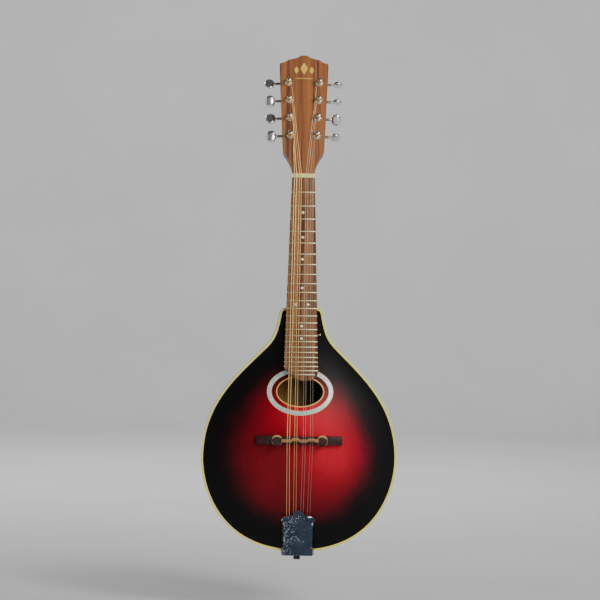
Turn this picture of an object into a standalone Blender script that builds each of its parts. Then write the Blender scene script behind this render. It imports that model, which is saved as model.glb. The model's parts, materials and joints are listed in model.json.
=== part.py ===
"""An eight-string mandolin with an arched teardrop body, built as separate pieces.

Frame: metres, +Z runs up the neck, the face looks along -Y and +X is the treble side.
The origin is the middle of the end pin's flat end.  Most pieces are drawn in a local
frame whose X is the instrument's X, whose Y runs up the piece and whose Z is its front.
"""

import math

import bmesh
import bpy
from mathutils import Matrix, Vector

MM = 0.001
GAP = 0.3 * MM                      # clearance between neighbouring pieces
LONG = 0.2                          # cutters are this long, well past any wall

# Body
TAIL_Z = 12.8 * MM                  # lowest point of the body
BODY_TOP_Z = 337.0 * MM             # where the heel meets the body
BODY_HALF_WIDTH = 130.4 * MM
WIDEST_Z = 136.8 * MM
EDGE_Y = 21.0 * MM                  # half of the body's depth at its edge
PLATE = 4.0 * MM
ARCH_TOP = 11.0 * MM
ARCH_BACK = 11.0 * MM
ARCH_CENTRE_Z = 156.0 * MM
RIM_WALL = 2.5 * MM
BINDING = 2.8 * MM
LINING_WIDTH = 5.0 * MM
LINING_DEPTH = 7.0 * MM
BLOCK_BOTTOM_Z = 306.0 * MM
BRACE_HALF = 44.0 * MM
BRACE_Z = 270.0 * MM
BRACE_WIDTH = 7.0 * MM

# Soundhole and its inlaid ring, as half-axes across and along
HOLE_Z = 226.2 * MM
HOLE = (32.6 * MM, 21.2 * MM)
HOLE_BINDING = 2.0 * MM
RING_OUTER = (44.2 * MM, 31.7 * MM)
RING_WIDTH = 6.2 * MM
RING_DEPTH = 1.2 * MM

# Strings, neck and fretboard
BRIDGE_Z = 162.0 * MM
NUT_Z = 511.6 * MM
NUT_LENGTH = 5.8 * MM
STRING_Y_BRIDGE = -50.0 * MM
STRING_Y_NUT = -15.0 * MM
NUT_ACTION = 0.5 * MM
TWELFTH_ACTION = 1.8 * MM
FRETS = 24
FRET_HEIGHT = 1.0 * MM
FRET_WIDTH = 2.0 * MM
BOARD_THICK = 5.0 * MM
BOARD_HALF_NUT = 15.2 * MM
BOARD_TAPER = 0.030                 # half width gained per metre of length
BOARD_TIP_Z = 241.1 * MM
HEEL_Y = 17.0 * MM
RISER_HALF = 15.0 * MM
RISER_BOTTOM_Z = 272.0 * MM
GUARD_PIN_Z = 302.0 * MM            # pin that once held a pickguard
GUARD_PIN_RADIUS = 0.8 * MM
GUARD_PIN_START = 8.0 * MM
GUARD_PIN_END = 26.0 * MM
TENON_HALF = 9.0 * MM
TENON_Y = (-14.0 * MM, 10.0 * MM)
TENON_Z = (319.0 * MM, 345.0 * MM)

# Headstock
HEAD_PITCH = math.radians(17.0)
HEAD_THICK = 16.0 * MM
VENEER = 1.5 * MM
POST_U = 54.6 * MM                  # lowest post, measured up the headstock
POST_STEP = 25.7 * MM
POST_X = 17.9 * MM
SIDE_SPLAY = 0.0415

# Tuning machines
POST_RADIUS = 3.0 * MM
POST_TOP = 10.7 * MM
PLATE_TUNER = 1.0 * MM
GEAR_W = -20.1 * MM
GEAR_FACE = 2.2 * MM
GEAR_TEETH = 14
WORM_OFFSET = 6.3 * MM
WORM_CORE = 1.5 * MM
WORM_OUTER = 2.5 * MM
WORM_TURNS = 3
WORM_CREST = 0.22 * MM              # half widths of its thread
WORM_ROOT = 0.40 * MM
SHAFT_RADIUS = 1.25 * MM
BUTTON_START = 17.6 * MM
BUTTON_SIZE = (13.0 * MM, 16.3 * MM, 5.6 * MM)
# Rest turns of the buttons, lowest to highest on each side
BUTTON_TURNS = {"bass": (-12.0, 16.0, -17.0, 21.0), "treble": (75.0, 38.0, 88.0, 84.0)}

# Bridge
BRIDGE_HALF = 56.7 * MM
BRIDGE_DEPTH = 11.5 * MM
BASE_TOP_Y = -38.9 * MM
WHEEL_X = 30.0 * MM
WHEEL_RADIUS = 7.7 * MM
WHEEL_THICK = 2.4 * MM
BRIDGE_POST_RADIUS = 1.8 * MM
SADDLE_HALF = 36.5 * MM
SADDLE_DEPTH = 6.6 * MM
SADDLE_CREST = 2.4 * MM             # its depth under the strings

# Tailpiece
COVER_BOTTOM_Z = 8.7 * MM
COVER_LEAN = math.radians(4.78)
COVER_Y = -31.2 * MM
COVER_SHEET = 0.8 * MM
COVER_HALF = 19.4 * MM
COVER_FLARE = 2.5 * MM
COVER_SKIRT = 8.8 * MM
COVER_SIDE = 38.0 * MM
LEAF_HALF = 20.2 * MM
HOOK_Z = 24.0 * MM
HOOK_THICK = 1.6 * MM
HOOK_LENGTH = 6.0 * MM
HOOK_MIDDLE_Y = -26.0 * MM
HOOK_DROOP = 2.0 * MM               # how far a hook's tip bends towards the tail

# End pin
PIN_BORE = 3.8 * MM
PIN_LENGTH = 30.0 * MM

# Strings, bass to treble: radius, place at the nut and at the saddle, hook place
STRING_RADII = (0.5, 0.5, 0.33, 0.33, 0.19, 0.19, 0.14, 0.14)
NUT_X = (-12.4, -9.6, -5.8, -3.0, 3.0, 5.8, 9.6, 12.4)
SADDLE_X = (-17.0, -13.8, -7.2, -4.2, 4.2, 7.2, 13.8, 17.0)
WIND_HIGH = 4.9 * MM                # where a winding starts, above the headstock's face
WIND_LOW = 3.5 * MM                 # the same on the lowest posts, under the next string
WIND_DROP = 1.0 * MM                # how far it descends in a turn
HOOK_REACH_Y = -27.6 * MM           # where a string lies on its hook
HOOK_X = (-14.8, -11.2, -6.2, -2.6, 2.6, 6.2, 11.2, 14.8)

MAPLE = ((0.42, 0.20, 0.08), 0.35, 0.0)
SPRUCE = ((0.65, 0.42, 0.22), 0.6, 0.0)
SUNBURST = ((0.35, 0.02, 0.02), 0.15, 0.0)
IVORY = ((0.75, 0.68, 0.38), 0.3, 0.0)
PEARL = ((0.55, 0.62, 0.58), 0.2, 0.0)
ROSEWOOD = ((0.22, 0.10, 0.06), 0.5, 0.0)
EBONY = ((0.05, 0.03, 0.03), 0.4, 0.0)
BRASS = ((0.75, 0.55, 0.25), 0.3, 1.0)
NICKEL = ((0.7, 0.7, 0.7), 0.2, 1.0)
STEEL = ((0.6, 0.6, 0.62), 0.25, 1.0)
BRONZE = ((0.7, 0.45, 0.2), 0.3, 1.0)


# --- Scene, objects and materials ---------------------------------------------------

def clear_scene():
    for obj in list(bpy.data.objects):
        bpy.data.objects.remove(obj)
    for name in ("mandolin", "mandolin_cutters"):
        collection = bpy.data.collections.new(name)
        bpy.context.scene.collection.children.link(collection)


def material(name, look):
    colour, roughness, metallic = look
    made = bpy.data.materials.new(name)
    made.use_nodes = True
    shader = made.node_tree.nodes["Principled BSDF"]
    shader.inputs["Base Color"].default_value = (*colour, 1.0)
    shader.inputs["Roughness"].default_value = roughness
    shader.inputs["Metallic"].default_value = metallic
    return made


def place(name, data, frame=None, location=(0, 0, 0), look=None, cutter=False):
    """Link an object for some data, in a parent frame, with its own material."""
    obj = bpy.data.objects.new(name, data)
    group = bpy.data.collections["mandolin_cutters" if cutter else "mandolin"]
    group.objects.link(obj)
    obj.parent = frame
    obj.location = location
    if cutter:
        obj.hide_render = True
        obj.display_type = "WIRE"
    elif look is not None:
        if not data.materials:
            data.materials.append(None)
        obj.material_slots[0].link = "OBJECT"
        obj.material_slots[0].material = material(name, look)
    return obj


def empty(name, location, rotation=(0, 0, 0), parent=None):
    obj = place(name, None, parent, location)
    obj.rotation_euler = rotation
    return obj


def mesh_from(bm, name):
    bmesh.ops.recalc_face_normals(bm, faces=bm.faces[:])
    mesh = bpy.data.meshes.new(name)
    bm.to_mesh(mesh)
    bm.free()
    return mesh


def boolean(obj, cutter, operation="DIFFERENCE"):
    modifier = obj.modifiers.new(operation.lower() + "_" + cutter.name, "BOOLEAN")
    modifier.operation = operation
    modifier.object = cutter
    modifier.solver = "EXACT"


# --- Shapes -------------------------------------------------------------------------

def loft(name, rings, closed=False, poles=None):
    """Skin through rings of points; the ends close as caps, on poles, or on each other."""
    bm = bmesh.new()
    loops = [[bm.verts.new(point) for point in ring] for ring in rings]
    count = len(rings[0])
    pairs = list(zip(loops, loops[1:]))
    if closed:
        pairs.append((loops[-1], loops[0]))
    for first, second in pairs:
        for i in range(count):
            j = (i + 1) % count
            bm.faces.new((first[i], first[j], second[j], second[i]))
    if poles:
        for pole, ring in zip(poles, (loops[0], loops[-1])):
            tip = bm.verts.new(pole)
            for i in range(count):
                bm.faces.new((ring[i], ring[(i + 1) % count], tip))
    elif not closed:
        bm.faces.new(loops[0])
        bm.faces.new(loops[-1])
    return mesh_from(bm, name)


def prism(name, outline, low, high):
    """A flat outline (x, y) from z = low to z = high."""
    return loft(name, [[(x, y, z) for x, y in outline] for z in (low, high)])


def box(name, low, high):
    bm = bmesh.new()
    bmesh.ops.create_cube(bm, size=1.0)
    size = [b - a for a, b in zip(low, high)]
    middle = [(a + b) / 2 for a, b in zip(low, high)]
    bmesh.ops.scale(bm, vec=size, verts=bm.verts)
    bmesh.ops.translate(bm, vec=middle, verts=bm.verts)
    return mesh_from(bm, name)


def cylinder(name, radius, low, high, segments=16, axis="Z"):
    bm = bmesh.new()
    bmesh.ops.create_cone(bm, cap_ends=True, segments=segments, radius1=radius,
                          radius2=radius, depth=high - low)
    bmesh.ops.translate(bm, vec=(0, 0, (low + high) / 2), verts=bm.verts)
    turn = {"Z": Matrix(), "X": Matrix.Rotation(math.pi / 2, 3, "Y"),
            "Y": Matrix.Rotation(-math.pi / 2, 3, "X")}[axis]
    bmesh.ops.rotate(bm, cent=(0, 0, 0), matrix=turn, verts=bm.verts)
    return mesh_from(bm, name)


def turned(obj, steps):
    """Turn an object's profile about its own Z."""
    screw = obj.modifiers.new("turn", "SCREW")
    screw.steps = steps
    screw.render_steps = steps
    screw.use_merge_vertices = True
    screw.merge_threshold = 0.00001


def profile(name, points):
    mesh = bpy.data.meshes.new(name)
    edges = [(i, i + 1) for i in range(len(points) - 1)]
    mesh.from_pydata([(r, 0, z) for r, z in points], edges, [])
    return mesh


def bezier(p0, p1, p2, p3, count):
    """Points on a cubic curve, leaving out its last."""
    points = []
    for i in range(count):
        t = i / count
        s = 1 - t
        weights = (s * s * s, 3 * s * s * t, 3 * s * t * t, t * t * t)
        points.append(sum((w * Vector(p) for w, p in zip(weights, (p0, p1, p2, p3))),
                          Vector((0, 0))))
    return points


def mirrored(half):
    """A closed outline from its right half, whose two ends lie on the centre line."""
    return [tuple(p) for p in half] + [(-x, y) for x, y in reversed(half[1:-1])]


def inset(outline, distance):
    """Move each point of a closed anticlockwise outline inwards."""
    moved = []
    count = len(outline)
    for i in range(count):
        before = Vector(outline[i - 1])
        here = Vector(outline[i])
        after = Vector(outline[(i + 1) % count])
        first = (here - before).normalized()
        second = (after - here).normalized()
        inward = Vector((-first.y - second.y, first.x + second.x)).normalized()
        stretch = max(0.5, inward.dot(Vector((-first.y, first.x))))
        moved.append(tuple(here + inward * (distance / stretch)))
    return moved


# --- The body's outline and arch ----------------------------------------------------

def body_half_outline():
    """From the tail, round the lower bout and up the reversed shoulder to the heel."""
    mm = lambda x, z: Vector((x * MM, z * MM))
    tail = Vector((0.0, TAIL_Z))
    wide = Vector((BODY_HALF_WIDTH, WIDEST_Z))
    waist = mm(61.2, 271.8)
    cheek = mm(29.9, 323.4)
    end = Vector((21.6 * MM, BODY_TOP_Z))
    points = bezier(tail, tail + mm(108, 0), wide - mm(0, 37.6), wide, 12)
    points += bezier(wide, wide + mm(0, 65), waist + mm(34.3, -34), waist, 9)
    points += bezier(waist, waist + mm(-20.5, 20.3), cheek + mm(5.9, -29.2), cheek, 6)
    points += bezier(cheek, cheek + mm(-1.6, 7.5), end + mm(6.5, 0), end, 3)
    return points + [end, Vector((0.0, BODY_TOP_Z))]


OUTLINE = mirrored(body_half_outline())


def reach(direction, centre):
    """How far the outline is from a point inside it, in a direction."""
    best = 0.0
    for i, start in enumerate(OUTLINE):
        a = Vector(start) - centre
        b = Vector(OUTLINE[(i + 1) % len(OUTLINE)]) - centre
        edge = b - a
        bottom = direction.x * edge.y - direction.y * edge.x
        if abs(bottom) < 1e-12:
            continue
        along = (a.x * edge.y - a.y * edge.x) / bottom
        across = (a.x * direction.y - a.y * direction.x) / bottom
        if along > 0 and -1e-6 <= across <= 1 + 1e-6:
            best = max(best, along)
    return best


def rise(x, z):
    """Share of the arch's height at a place on the plate: 1 in the middle, 0 at the edge."""
    centre = Vector((0.0, ARCH_CENTRE_Z))
    offset = Vector((x, z)) - centre
    if offset.length < 1e-6:
        return 1.0
    share = min(1.0, offset.length / reach(offset.normalized(), centre))
    return 0.5 * (1 + math.cos(math.pi * share))


def top_y(x, z):
    return -EDGE_Y - ARCH_TOP * rise(x, z)


def ellipse_ring(axes, grow=0.0):
    """Points of the soundhole's shape, each in the direction of an outline point."""
    a = axes[0] + grow
    b = axes[1] + grow
    ring = []
    for x, z in OUTLINE:
        direction = Vector((x, z - HOLE_Z)).normalized()
        scale = 1 / math.sqrt((direction.x / a) ** 2 + (direction.y / b) ** 2)
        ring.append((direction.x * scale, HOLE_Z + direction.y * scale))
    return ring


def between(first, second, share):
    return [tuple(Vector(a).lerp(Vector(b), share)) for a, b in zip(first, second)]


def on_top(ring, depth=0.0):
    """Lift a flat ring onto the arched top, some depth below its surface."""
    return [(x, top_y(x, z) + depth, z) for x, z in ring]


# --- Body ---------------------------------------------------------------------------

def make_top_plate():
    steps = 4
    edge = inset(OUTLINE, BINDING + GAP)
    ring_out = ellipse_ring(RING_OUTER, GAP)
    ring_in = ellipse_ring(RING_OUTER, -RING_WIDTH - GAP)
    hole = ellipse_ring(HOLE, GAP)
    rings = [on_top(between(edge, ring_out, i / steps)) for i in range(steps + 1)]
    rings.append(on_top(ring_out, RING_DEPTH + GAP))
    rings.append(on_top(ring_in, RING_DEPTH + GAP))
    rings.append(on_top(ring_in))
    rings.append(on_top(hole))
    rings += [on_top(between(hole, edge, i / steps), PLATE) for i in range(steps + 1)]
    place("top_plate", loft("top_plate", rings, closed=True), look=SUNBURST)


def make_soundhole():
    outer = ellipse_ring(HOLE)
    inner = ellipse_ring(HOLE, -HOLE_BINDING)
    rings = [on_top(outer), on_top(inner), on_top(inner, PLATE), on_top(outer, PLATE)]
    place("soundhole_binding", loft("soundhole_binding", rings, closed=True), look=IVORY)
    outer = ellipse_ring(RING_OUTER)
    inner = ellipse_ring(RING_OUTER, -RING_WIDTH)
    rings = [on_top(outer), on_top(inner), on_top(inner, RING_DEPTH),
             on_top(outer, RING_DEPTH)]
    place("rosette_ring", loft("rosette_ring", rings, closed=True), look=PEARL)


def make_back_plate():
    steps = 5
    middle = [(0.0, ARCH_CENTRE_Z)] * len(OUTLINE)
    flat = [between(OUTLINE, middle, i / steps) for i in range(steps)]

    def lifted(ring, depth):
        return [(x, EDGE_Y + ARCH_BACK * rise(x, z) - depth, z) for x, z in ring]

    rings = [lifted(ring, 0.0) for ring in reversed(flat)]
    rings += [lifted(ring, PLATE) for ring in flat]
    tip = EDGE_Y + ARCH_BACK
    poles = [(0, tip, ARCH_CENTRE_Z), (0, tip - PLATE, ARCH_CENTRE_Z)]
    place("back_plate", loft("back_plate", rings, poles=poles), look=MAPLE)


def band(name, outer, inner, low, high, look):
    """A hoop round the body between two outlines."""
    rings = [[(x, y, z) for x, z in ring]
             for ring, y in ((outer, low), (inner, low), (inner, high), (outer, high))]
    return place(name, loft(name, rings, closed=True), look=look)


def make_rim_and_binding():
    half = EDGE_Y - PLATE - GAP
    rim = band("rim", OUTLINE, inset(OUTLINE, RIM_WALL), -half, half, MAPLE)
    band("top_binding", OUTLINE, inset(OUTLINE, BINDING), -EDGE_Y, -half - GAP, IVORY)
    return rim


def make_linings():
    """Kerfed strips that glue the plates to the rim, from one side of the neck block
    round the tail to the other."""
    outer = inset(OUTLINE, RIM_WALL + GAP)
    inner = inset(OUTLINE, RIM_WALL + GAP + LINING_WIDTH)
    below = [i for i in range(len(OUTLINE)) if OUTLINE[i][1] < BLOCK_BOTTOM_Z - 2 * MM]
    count = len(OUTLINE)
    right = [i for i in below if i <= count // 2]
    left = [i for i in below if i > count // 2]
    path = left + right
    edge = EDGE_Y - PLATE - GAP
    for name, side in (("top_lining", -1), ("back_lining", 1)):
        far = side * edge
        near = side * (edge - LINING_DEPTH)
        rings = []
        for i in path:
            (ox, oz), (ix, iz) = outer[i], inner[i]
            rings.append([(ox, far, oz), (ix, far, iz), (ix, near, iz), (ox, near, oz)])
        place(name, loft(name, rings), look=SPRUCE)


def make_blocks():
    """The neck block fills the body's top end; the tail block takes the end pin."""
    depth = EDGE_Y - PLATE - 2 * GAP
    inner = inset(OUTLINE, RIM_WALL + GAP)
    shape = [p for p in inner if p[1] > BLOCK_BOTTOM_Z]
    half = [p for p in shape if p[0] > 0]
    half.sort(key=lambda p: p[1])
    outline = [(half[0][0], BLOCK_BOTTOM_Z)] + half
    outline += [(-x, z) for x, z in reversed(outline)]
    rings = [[(x, y, z) for x, z in outline] for y in (-depth, depth)]
    neck_block = place("neck_block", loft("neck_block", rings), look=SPRUCE)

    tongue = EDGE_Y - PLATE - 3 * GAP - LINING_DEPTH
    rim_face = TAIL_Z + RIM_WALL + 1.2 * MM
    step = rim_face + LINING_WIDTH + 1.0 * MM
    end = TAIL_Z + 24 * MM
    side = [(-depth, step), (-tongue, step), (-tongue, rim_face), (tongue, rim_face),
            (tongue, step), (depth, step), (depth, end), (-depth, end)]
    half_width = 17 * MM
    rings = [[(x, y, z) for y, z in side] for x in (-half_width, half_width)]
    tail_block = place("tail_block", loft("tail_block", rings), look=SPRUCE)
    return neck_block, tail_block


def make_top_brace():
    """A transverse bar under the top, between the soundhole and the neck block."""
    half = BRACE_HALF
    z = BRACE_Z
    width = BRACE_WIDTH
    steps = 8
    across = [-half + 2 * half * i / steps for i in range(steps + 1)]
    front = [(x, max(top_y(x, z - width / 2), top_y(x, z + width / 2)) + PLATE + GAP)
             for x in across]
    back = [(half, front[-1][1] + 4 * MM), (half * 0.7, front[4][1] + 9 * MM)]
    back += [(-x, y) for x, y in reversed(back)]
    outline = front + back
    rings = [[(x, y, height) for x, y in outline] for height in (z - width / 2, z + width / 2)]
    place("top_brace", loft("top_brace", rings), look=SPRUCE)


# --- Neck, fretboard and nut --------------------------------------------------------

def string_y(z):
    share = (z - BRIDGE_Z) / (NUT_Z - BRIDGE_Z)
    return STRING_Y_BRIDGE + (STRING_Y_NUT - STRING_Y_BRIDGE) * share


def board_y(z):
    """Height of the fretboard's face on the centre line."""
    half_scale = (NUT_Z - BRIDGE_Z) / 2
    slope = (TWELFTH_ACTION - NUT_ACTION) / half_scale
    return string_y(z) + FRET_HEIGHT + NUT_ACTION + slope * (NUT_Z - z)


NECK_LEAN = math.atan((board_y(NUT_Z) - board_y(BRIDGE_Z)) / (NUT_Z - BRIDGE_Z))


def board_half(length):
    """Half width of the fretboard at a length below the nut."""
    return BOARD_HALF_NUT + BOARD_TAPER * length


def down_the_neck(z):
    return (NUT_Z - z) / math.cos(NECK_LEAN)


def fret_length(number):
    return down_the_neck(BRIDGE_Z) * (1 - 2 ** (-number / 12))


def make_fretboard(neck_frame):
    """A tapered board whose end is cut away on the bass side, with its frets."""
    tip = down_the_neck(BOARD_TIP_Z)
    shoulder = fret_length(22) + 2.5 * MM
    bass = [(-board_half(shoulder), -shoulder)]
    bass += [tuple(p) for p in bezier((-board_half(shoulder), -shoulder),
                                      (-14 * MM, -shoulder - 6 * MM),
                                      (-6 * MM, -tip), (3 * MM, -tip), 7)][1:]
    treble = [tuple(p) for p in bezier((3 * MM, -tip), (16 * MM, -tip),
                                       (22 * MM, -tip + 3 * MM),
                                       (board_half(tip - 13 * MM), -tip + 13 * MM), 6)]
    outline = [(-board_half(0), 0.0)] + bass + treble
    outline += [(board_half(tip - 13 * MM), -tip + 13 * MM), (board_half(0), 0.0)]
    board = place("fretboard", prism("fretboard", outline, -BOARD_THICK, 0.0),
                  neck_frame, look=ROSEWOOD)
    bm = bmesh.new()
    for number in range(1, FRETS + 1):
        length = fret_length(number)
        left, right = -board_half(length), board_half(length)
        if number == 23:
            left = -12.0 * MM
        elif number == 24:
            left = -6.0 * MM
            right = 19.0 * MM
        inset_end = 0.2 * MM
        made = bmesh.ops.create_cube(bm, size=1.0)["verts"]
        size = (right - left - 2 * inset_end, FRET_WIDTH, 2 * FRET_HEIGHT)
        bmesh.ops.scale(bm, vec=size, verts=made)
        bmesh.ops.translate(bm, vec=((left + right) / 2, -length, 0), verts=made)
        for vert in made:
            if vert.co.z > 0:
                vert.co.y = -length + (vert.co.y + length) * 0.45
    frets = place("fret_blanks", mesh_from(bm, "fret_blanks"), neck_frame, cutter=True)
    boolean(board, frets, "UNION")


def make_nut(neck_frame):
    half = BOARD_HALF_NUT
    top = (FRET_HEIGHT + NUT_ACTION) - 0.5 * MM - GAP
    mesh = box("nut", (-half, GAP, -BOARD_THICK), (half, NUT_LENGTH, top))
    nut = place("nut", mesh, neck_frame, look=IVORY)
    bevel = nut.modifiers.new("rounded", "BEVEL")
    bevel.width = 0.4 * MM
    bevel.segments = 1


def neck_section(half, front, depth, power, z):
    """A rounded section, flat towards the strings, at a height above the origin."""
    points = []
    steps = 10
    for i in range(steps + 1):
        angle = math.pi * i / steps
        c, s = math.cos(angle), math.sin(angle)
        x = half * math.copysign(abs(c) ** (2 / power), c)
        points.append((x, front + depth * abs(s) ** (2 / power), z))
    return points


def head_outline():
    """Right half of the headstock's outline, from the nut to the bump on its top."""
    points = ((15.3, 0), (15.8, 8), (18.9, 17), (22.9, 25), (26.4, 30), (27.8, 34.5),
              (33.3, 157.8), (32.2, 159.7), (27.8, 160.6), (24.8, 162.1), (21.6, 164.6),
              (12.1, 167.1), (8.2, 168.5), (6.0, 170.2), (3.4, 171.4), (0, 171.6))
    return [(x * MM, u * MM) for x, u in points]


def make_neck(head_frame, cutters):
    """Shaft and heel in one loft, the pitched headstock slab and the tenon joined on."""
    stations = ((337.3, 36.5, 2.3), (341.0, 35.5, 2.3), (346.0, 30.0, 2.2),
                (352.0, 23.0, 2.1), (360.0, 18.5, 2.0), (375.0, 16.6, 2.0),
                (430.0, 15.6, 2.0), (495.0, 14.4, 2.0), (517.4, 14.2, 2.0))
    rings = []
    for height, depth, power in stations:
        z = height * MM
        half = board_half(down_the_neck(z)) - 0.1 * MM
        front = board_y(z) + BOARD_THICK + GAP
        if height < 345:
            depth = (HEEL_Y - front) / MM
        rings.append(neck_section(half, front, depth * MM, power, z))
    neck = place("neck", loft("neck", rings), look=MAPLE)

    half = head_outline()
    start = [(half[0][0], -0.5 * MM)]
    outline = start + half + [(-x, u) for x, u in reversed(half[:-1])]
    outline += [(-x, u) for x, u in start]
    slab = place("head_slab", prism("head_slab", outline, -HEAD_THICK, -VENEER - GAP),
                 head_frame, cutter=True)
    boolean(neck, slab, "UNION")

    low = (-TENON_HALF, TENON_Y[0], TENON_Z[0])
    high = (TENON_HALF, TENON_Y[1], TENON_Z[1])
    tenon = place("tenon_blank", box("tenon_blank", low, high), cutter=True)
    boolean(neck, tenon, "UNION")
    outline = half + [(-x, u) for x, u in reversed(half[:-1])]
    veneer = place("headstock_veneer", prism("headstock_veneer", outline, -VENEER, 0.0),
                   head_frame, look=ROSEWOOD)
    for cutter in cutters:
        boolean(neck, cutter)
        boolean(veneer, cutter)


def make_riser(neck_frame):
    """The neck's extension, which holds the fretboard up over the arched top."""
    half = RISER_HALF
    upper = BODY_TOP_Z - 1.0 * MM
    lower = RISER_BOTTOM_Z
    steps = 5
    rings = []
    for i in range(steps + 1):
        z = lower + (upper - lower) * i / steps
        seat = min(top_y(0, z), top_y(half, z)) - GAP
        front = board_y(z) + BOARD_THICK + GAP
        rings.append([(-half, front, z), (half, front, z), (half, seat, z), (-half, seat, z)])
    riser = place("fretboard_riser", loft("fretboard_riser", rings), look=MAPLE)
    seat = (0, board_y(GUARD_PIN_Z) + BOARD_THICK + 1.7 * MM, GUARD_PIN_Z)
    bore = cylinder("pickguard_pin_hole", GUARD_PIN_RADIUS + GAP, GUARD_PIN_START, LONG, 10, "X")
    boolean(riser, place("pickguard_pin_hole", bore, None, seat, cutter=True))
    pin = cylinder("pickguard_pin", GUARD_PIN_RADIUS, GUARD_PIN_START + GAP, GUARD_PIN_END,
                   10, "X")
    place("pickguard_pin", pin, None, seat, look=BRASS)


# --- Bridge -------------------------------------------------------------------------

def make_bridge(bridge_frame, saddle_frame):
    """A long foot fitted to the arch, two threaded posts with wheels, and the saddle."""
    steps = 12
    foot = []
    for i in range(steps + 1):
        x = -BRIDGE_HALF + 2 * BRIDGE_HALF * i / steps
        lift = min(top_y(x, BRIDGE_Z + side * BRIDGE_DEPTH / 2) for side in (-1, 0, 1))
        foot.append((x, lift - GAP))
    upper = ((BRIDGE_HALF, foot[-1][1] - 3.2 * MM), (45 * MM, BASE_TOP_Y + 1.2 * MM),
             (39 * MM, BASE_TOP_Y))
    outline = foot + list(upper) + [(-x, y) for x, y in reversed(upper)]
    depth = BRIDGE_DEPTH / 2
    rings = [[(x, y, BRIDGE_Z + z) for x, y in outline] for z in (-depth, depth)]
    base = place("bridge_base", loft("bridge_base", rings), look=EBONY)

    crest = STRING_Y_BRIDGE + 0.5 * MM + GAP
    under = BASE_TOP_Y - WHEEL_THICK - 2 * GAP
    half = ((SADDLE_HALF - 2.5 * MM, under), (SADDLE_HALF, under - 2.2 * MM),
            (SADDLE_HALF - 1.0 * MM, under - 4.2 * MM), (SADDLE_HALF - 8 * MM, crest))
    outline = list(half) + [(-x, y) for x, y in reversed(half)]
    origin = saddle_frame.location
    rings = []
    for side in (-1, 1):
        ring = []
        for x, y in outline:
            depth = SADDLE_CREST if y == crest else SADDLE_DEPTH
            ring.append((x, y - origin.y, side * depth / 2))
        rings.append(ring)
    saddle = place("bridge_saddle", loft("bridge_saddle", rings), saddle_frame, look=EBONY)

    wheel = cylinder("bridge_wheel", WHEEL_RADIUS, -WHEEL_THICK / 2, WHEEL_THICK / 2, 24, "Y")
    inner_end = BASE_TOP_Y + 5 * MM
    outer_end = crest + 2.4 * MM
    for side, x in (("bass", -WHEEL_X), ("treble", WHEEL_X)):
        bore = cylinder("bridge_bore", BRIDGE_POST_RADIUS + GAP, outer_end - GAP,
                        inner_end + GAP, 12, "Y")
        cutter = place("bridge_bore_" + side, bore, None, (x, 0, BRIDGE_Z), cutter=True)
        boolean(base, cutter)
        boolean(saddle, cutter)
        post = cylinder("bridge_post", BRIDGE_POST_RADIUS, outer_end, inner_end, 12, "Y")
        place("bridge_post_" + side, post, None, (x, 0, BRIDGE_Z), look=BRASS)
        turn = place("bridge_wheel_" + side, wheel, bridge_frame[side], look=BRASS)
        boolean(turn, cutter)


# --- Tailpiece and end pin ----------------------------------------------------------

def make_tailpiece(cover_frame):
    side = ((10.0, 11.0), (10.0, 12.5), (-21.5, 12.5), (-24.4, 60.0), (-25.6, 60.0),
            (-22.9, 11.0))
    rings = [[(x, y * MM, z * MM) for y, z in side] for x in (-LEAF_HALF, LEAF_HALF)]
    base = place("tailpiece_base", loft("tailpiece_base", rings), look=NICKEL)
    bm = bmesh.new()
    for x in HOOK_X:
        made = bmesh.ops.create_cube(bm, size=1.0)["verts"]
        bmesh.ops.scale(bm, vec=(HOOK_THICK, HOOK_LENGTH, HOOK_THICK), verts=made)
        bmesh.ops.translate(bm, vec=(x * MM, HOOK_MIDDLE_Y, HOOK_Z), verts=made)
        for vert in made:
            if vert.co.y < HOOK_MIDDLE_Y:
                vert.co.z -= HOOK_DROOP
    hooks = place("hook_blanks", mesh_from(bm, "hook_blanks"), cutter=True)
    boolean(base, hooks, "UNION")

    half = ((COVER_HALF, 0), (COVER_HALF, COVER_SIDE), (20.4 * MM, 39.5 * MM),
            (17.6 * MM, 42.2 * MM), (22.3 * MM, 46.5 * MM), (22.5 * MM, 49.9 * MM),
            (19.1 * MM, 52.8 * MM), (14.0 * MM, 50.9 * MM), (8.6 * MM, 54.4 * MM),
            (7.6 * MM, 55.8 * MM), (4.0 * MM, 59.5 * MM), (0, 61.0 * MM))
    outline = list(half) + [(-x, s) for x, s in reversed(half[:-1])]
    face = prism("tailpiece_cover", outline, -COVER_SHEET, 0.0)
    cover = place("tailpiece_cover", face, cover_frame, look=NICKEL)
    wide = COVER_HALF + COVER_FLARE
    skirt = [(COVER_HALF, 0), (wide, -COVER_SKIRT), (wide - COVER_SHEET, -COVER_SKIRT),
             (COVER_HALF - COVER_SHEET, -COVER_SHEET)]
    channel = skirt + [(-x, w) for x, w in reversed(skirt)]
    rings = [[(x, s, w) for x, w in channel] for s in (0.0, COVER_SIDE)]
    blank = place("cover_channel", loft("cover_channel", rings), cover_frame, cutter=True)
    boolean(cover, blank, "UNION")
    return base


def make_end_pin(through):
    """A turned pin, pushed through the tailpiece and the rim into the tail block."""
    points = ((0, 30), (3.2, 30), (3.5, 11), (3.5, 10.7), (4.8, 10.7), (4.8, 9.4),
              (3.3, 8.0), (3.0, 6.4), (3.8, 4.8), (4.9, 3.2), (5.0, 1.8), (4.4, 0.5),
              (3.9, 0), (0, 0))
    mesh = profile("end_pin", [(r * MM, z * MM) for r, z in points])
    turned(place("end_pin", mesh, look=EBONY), 14)
    bore = cylinder("end_pin_hole", PIN_BORE, -5 * MM, PIN_LENGTH + GAP)
    cutter = place("end_pin_hole", bore, cutter=True)
    for obj in through:
        boolean(obj, cutter)


# --- Tuning machines ----------------------------------------------------------------

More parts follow.
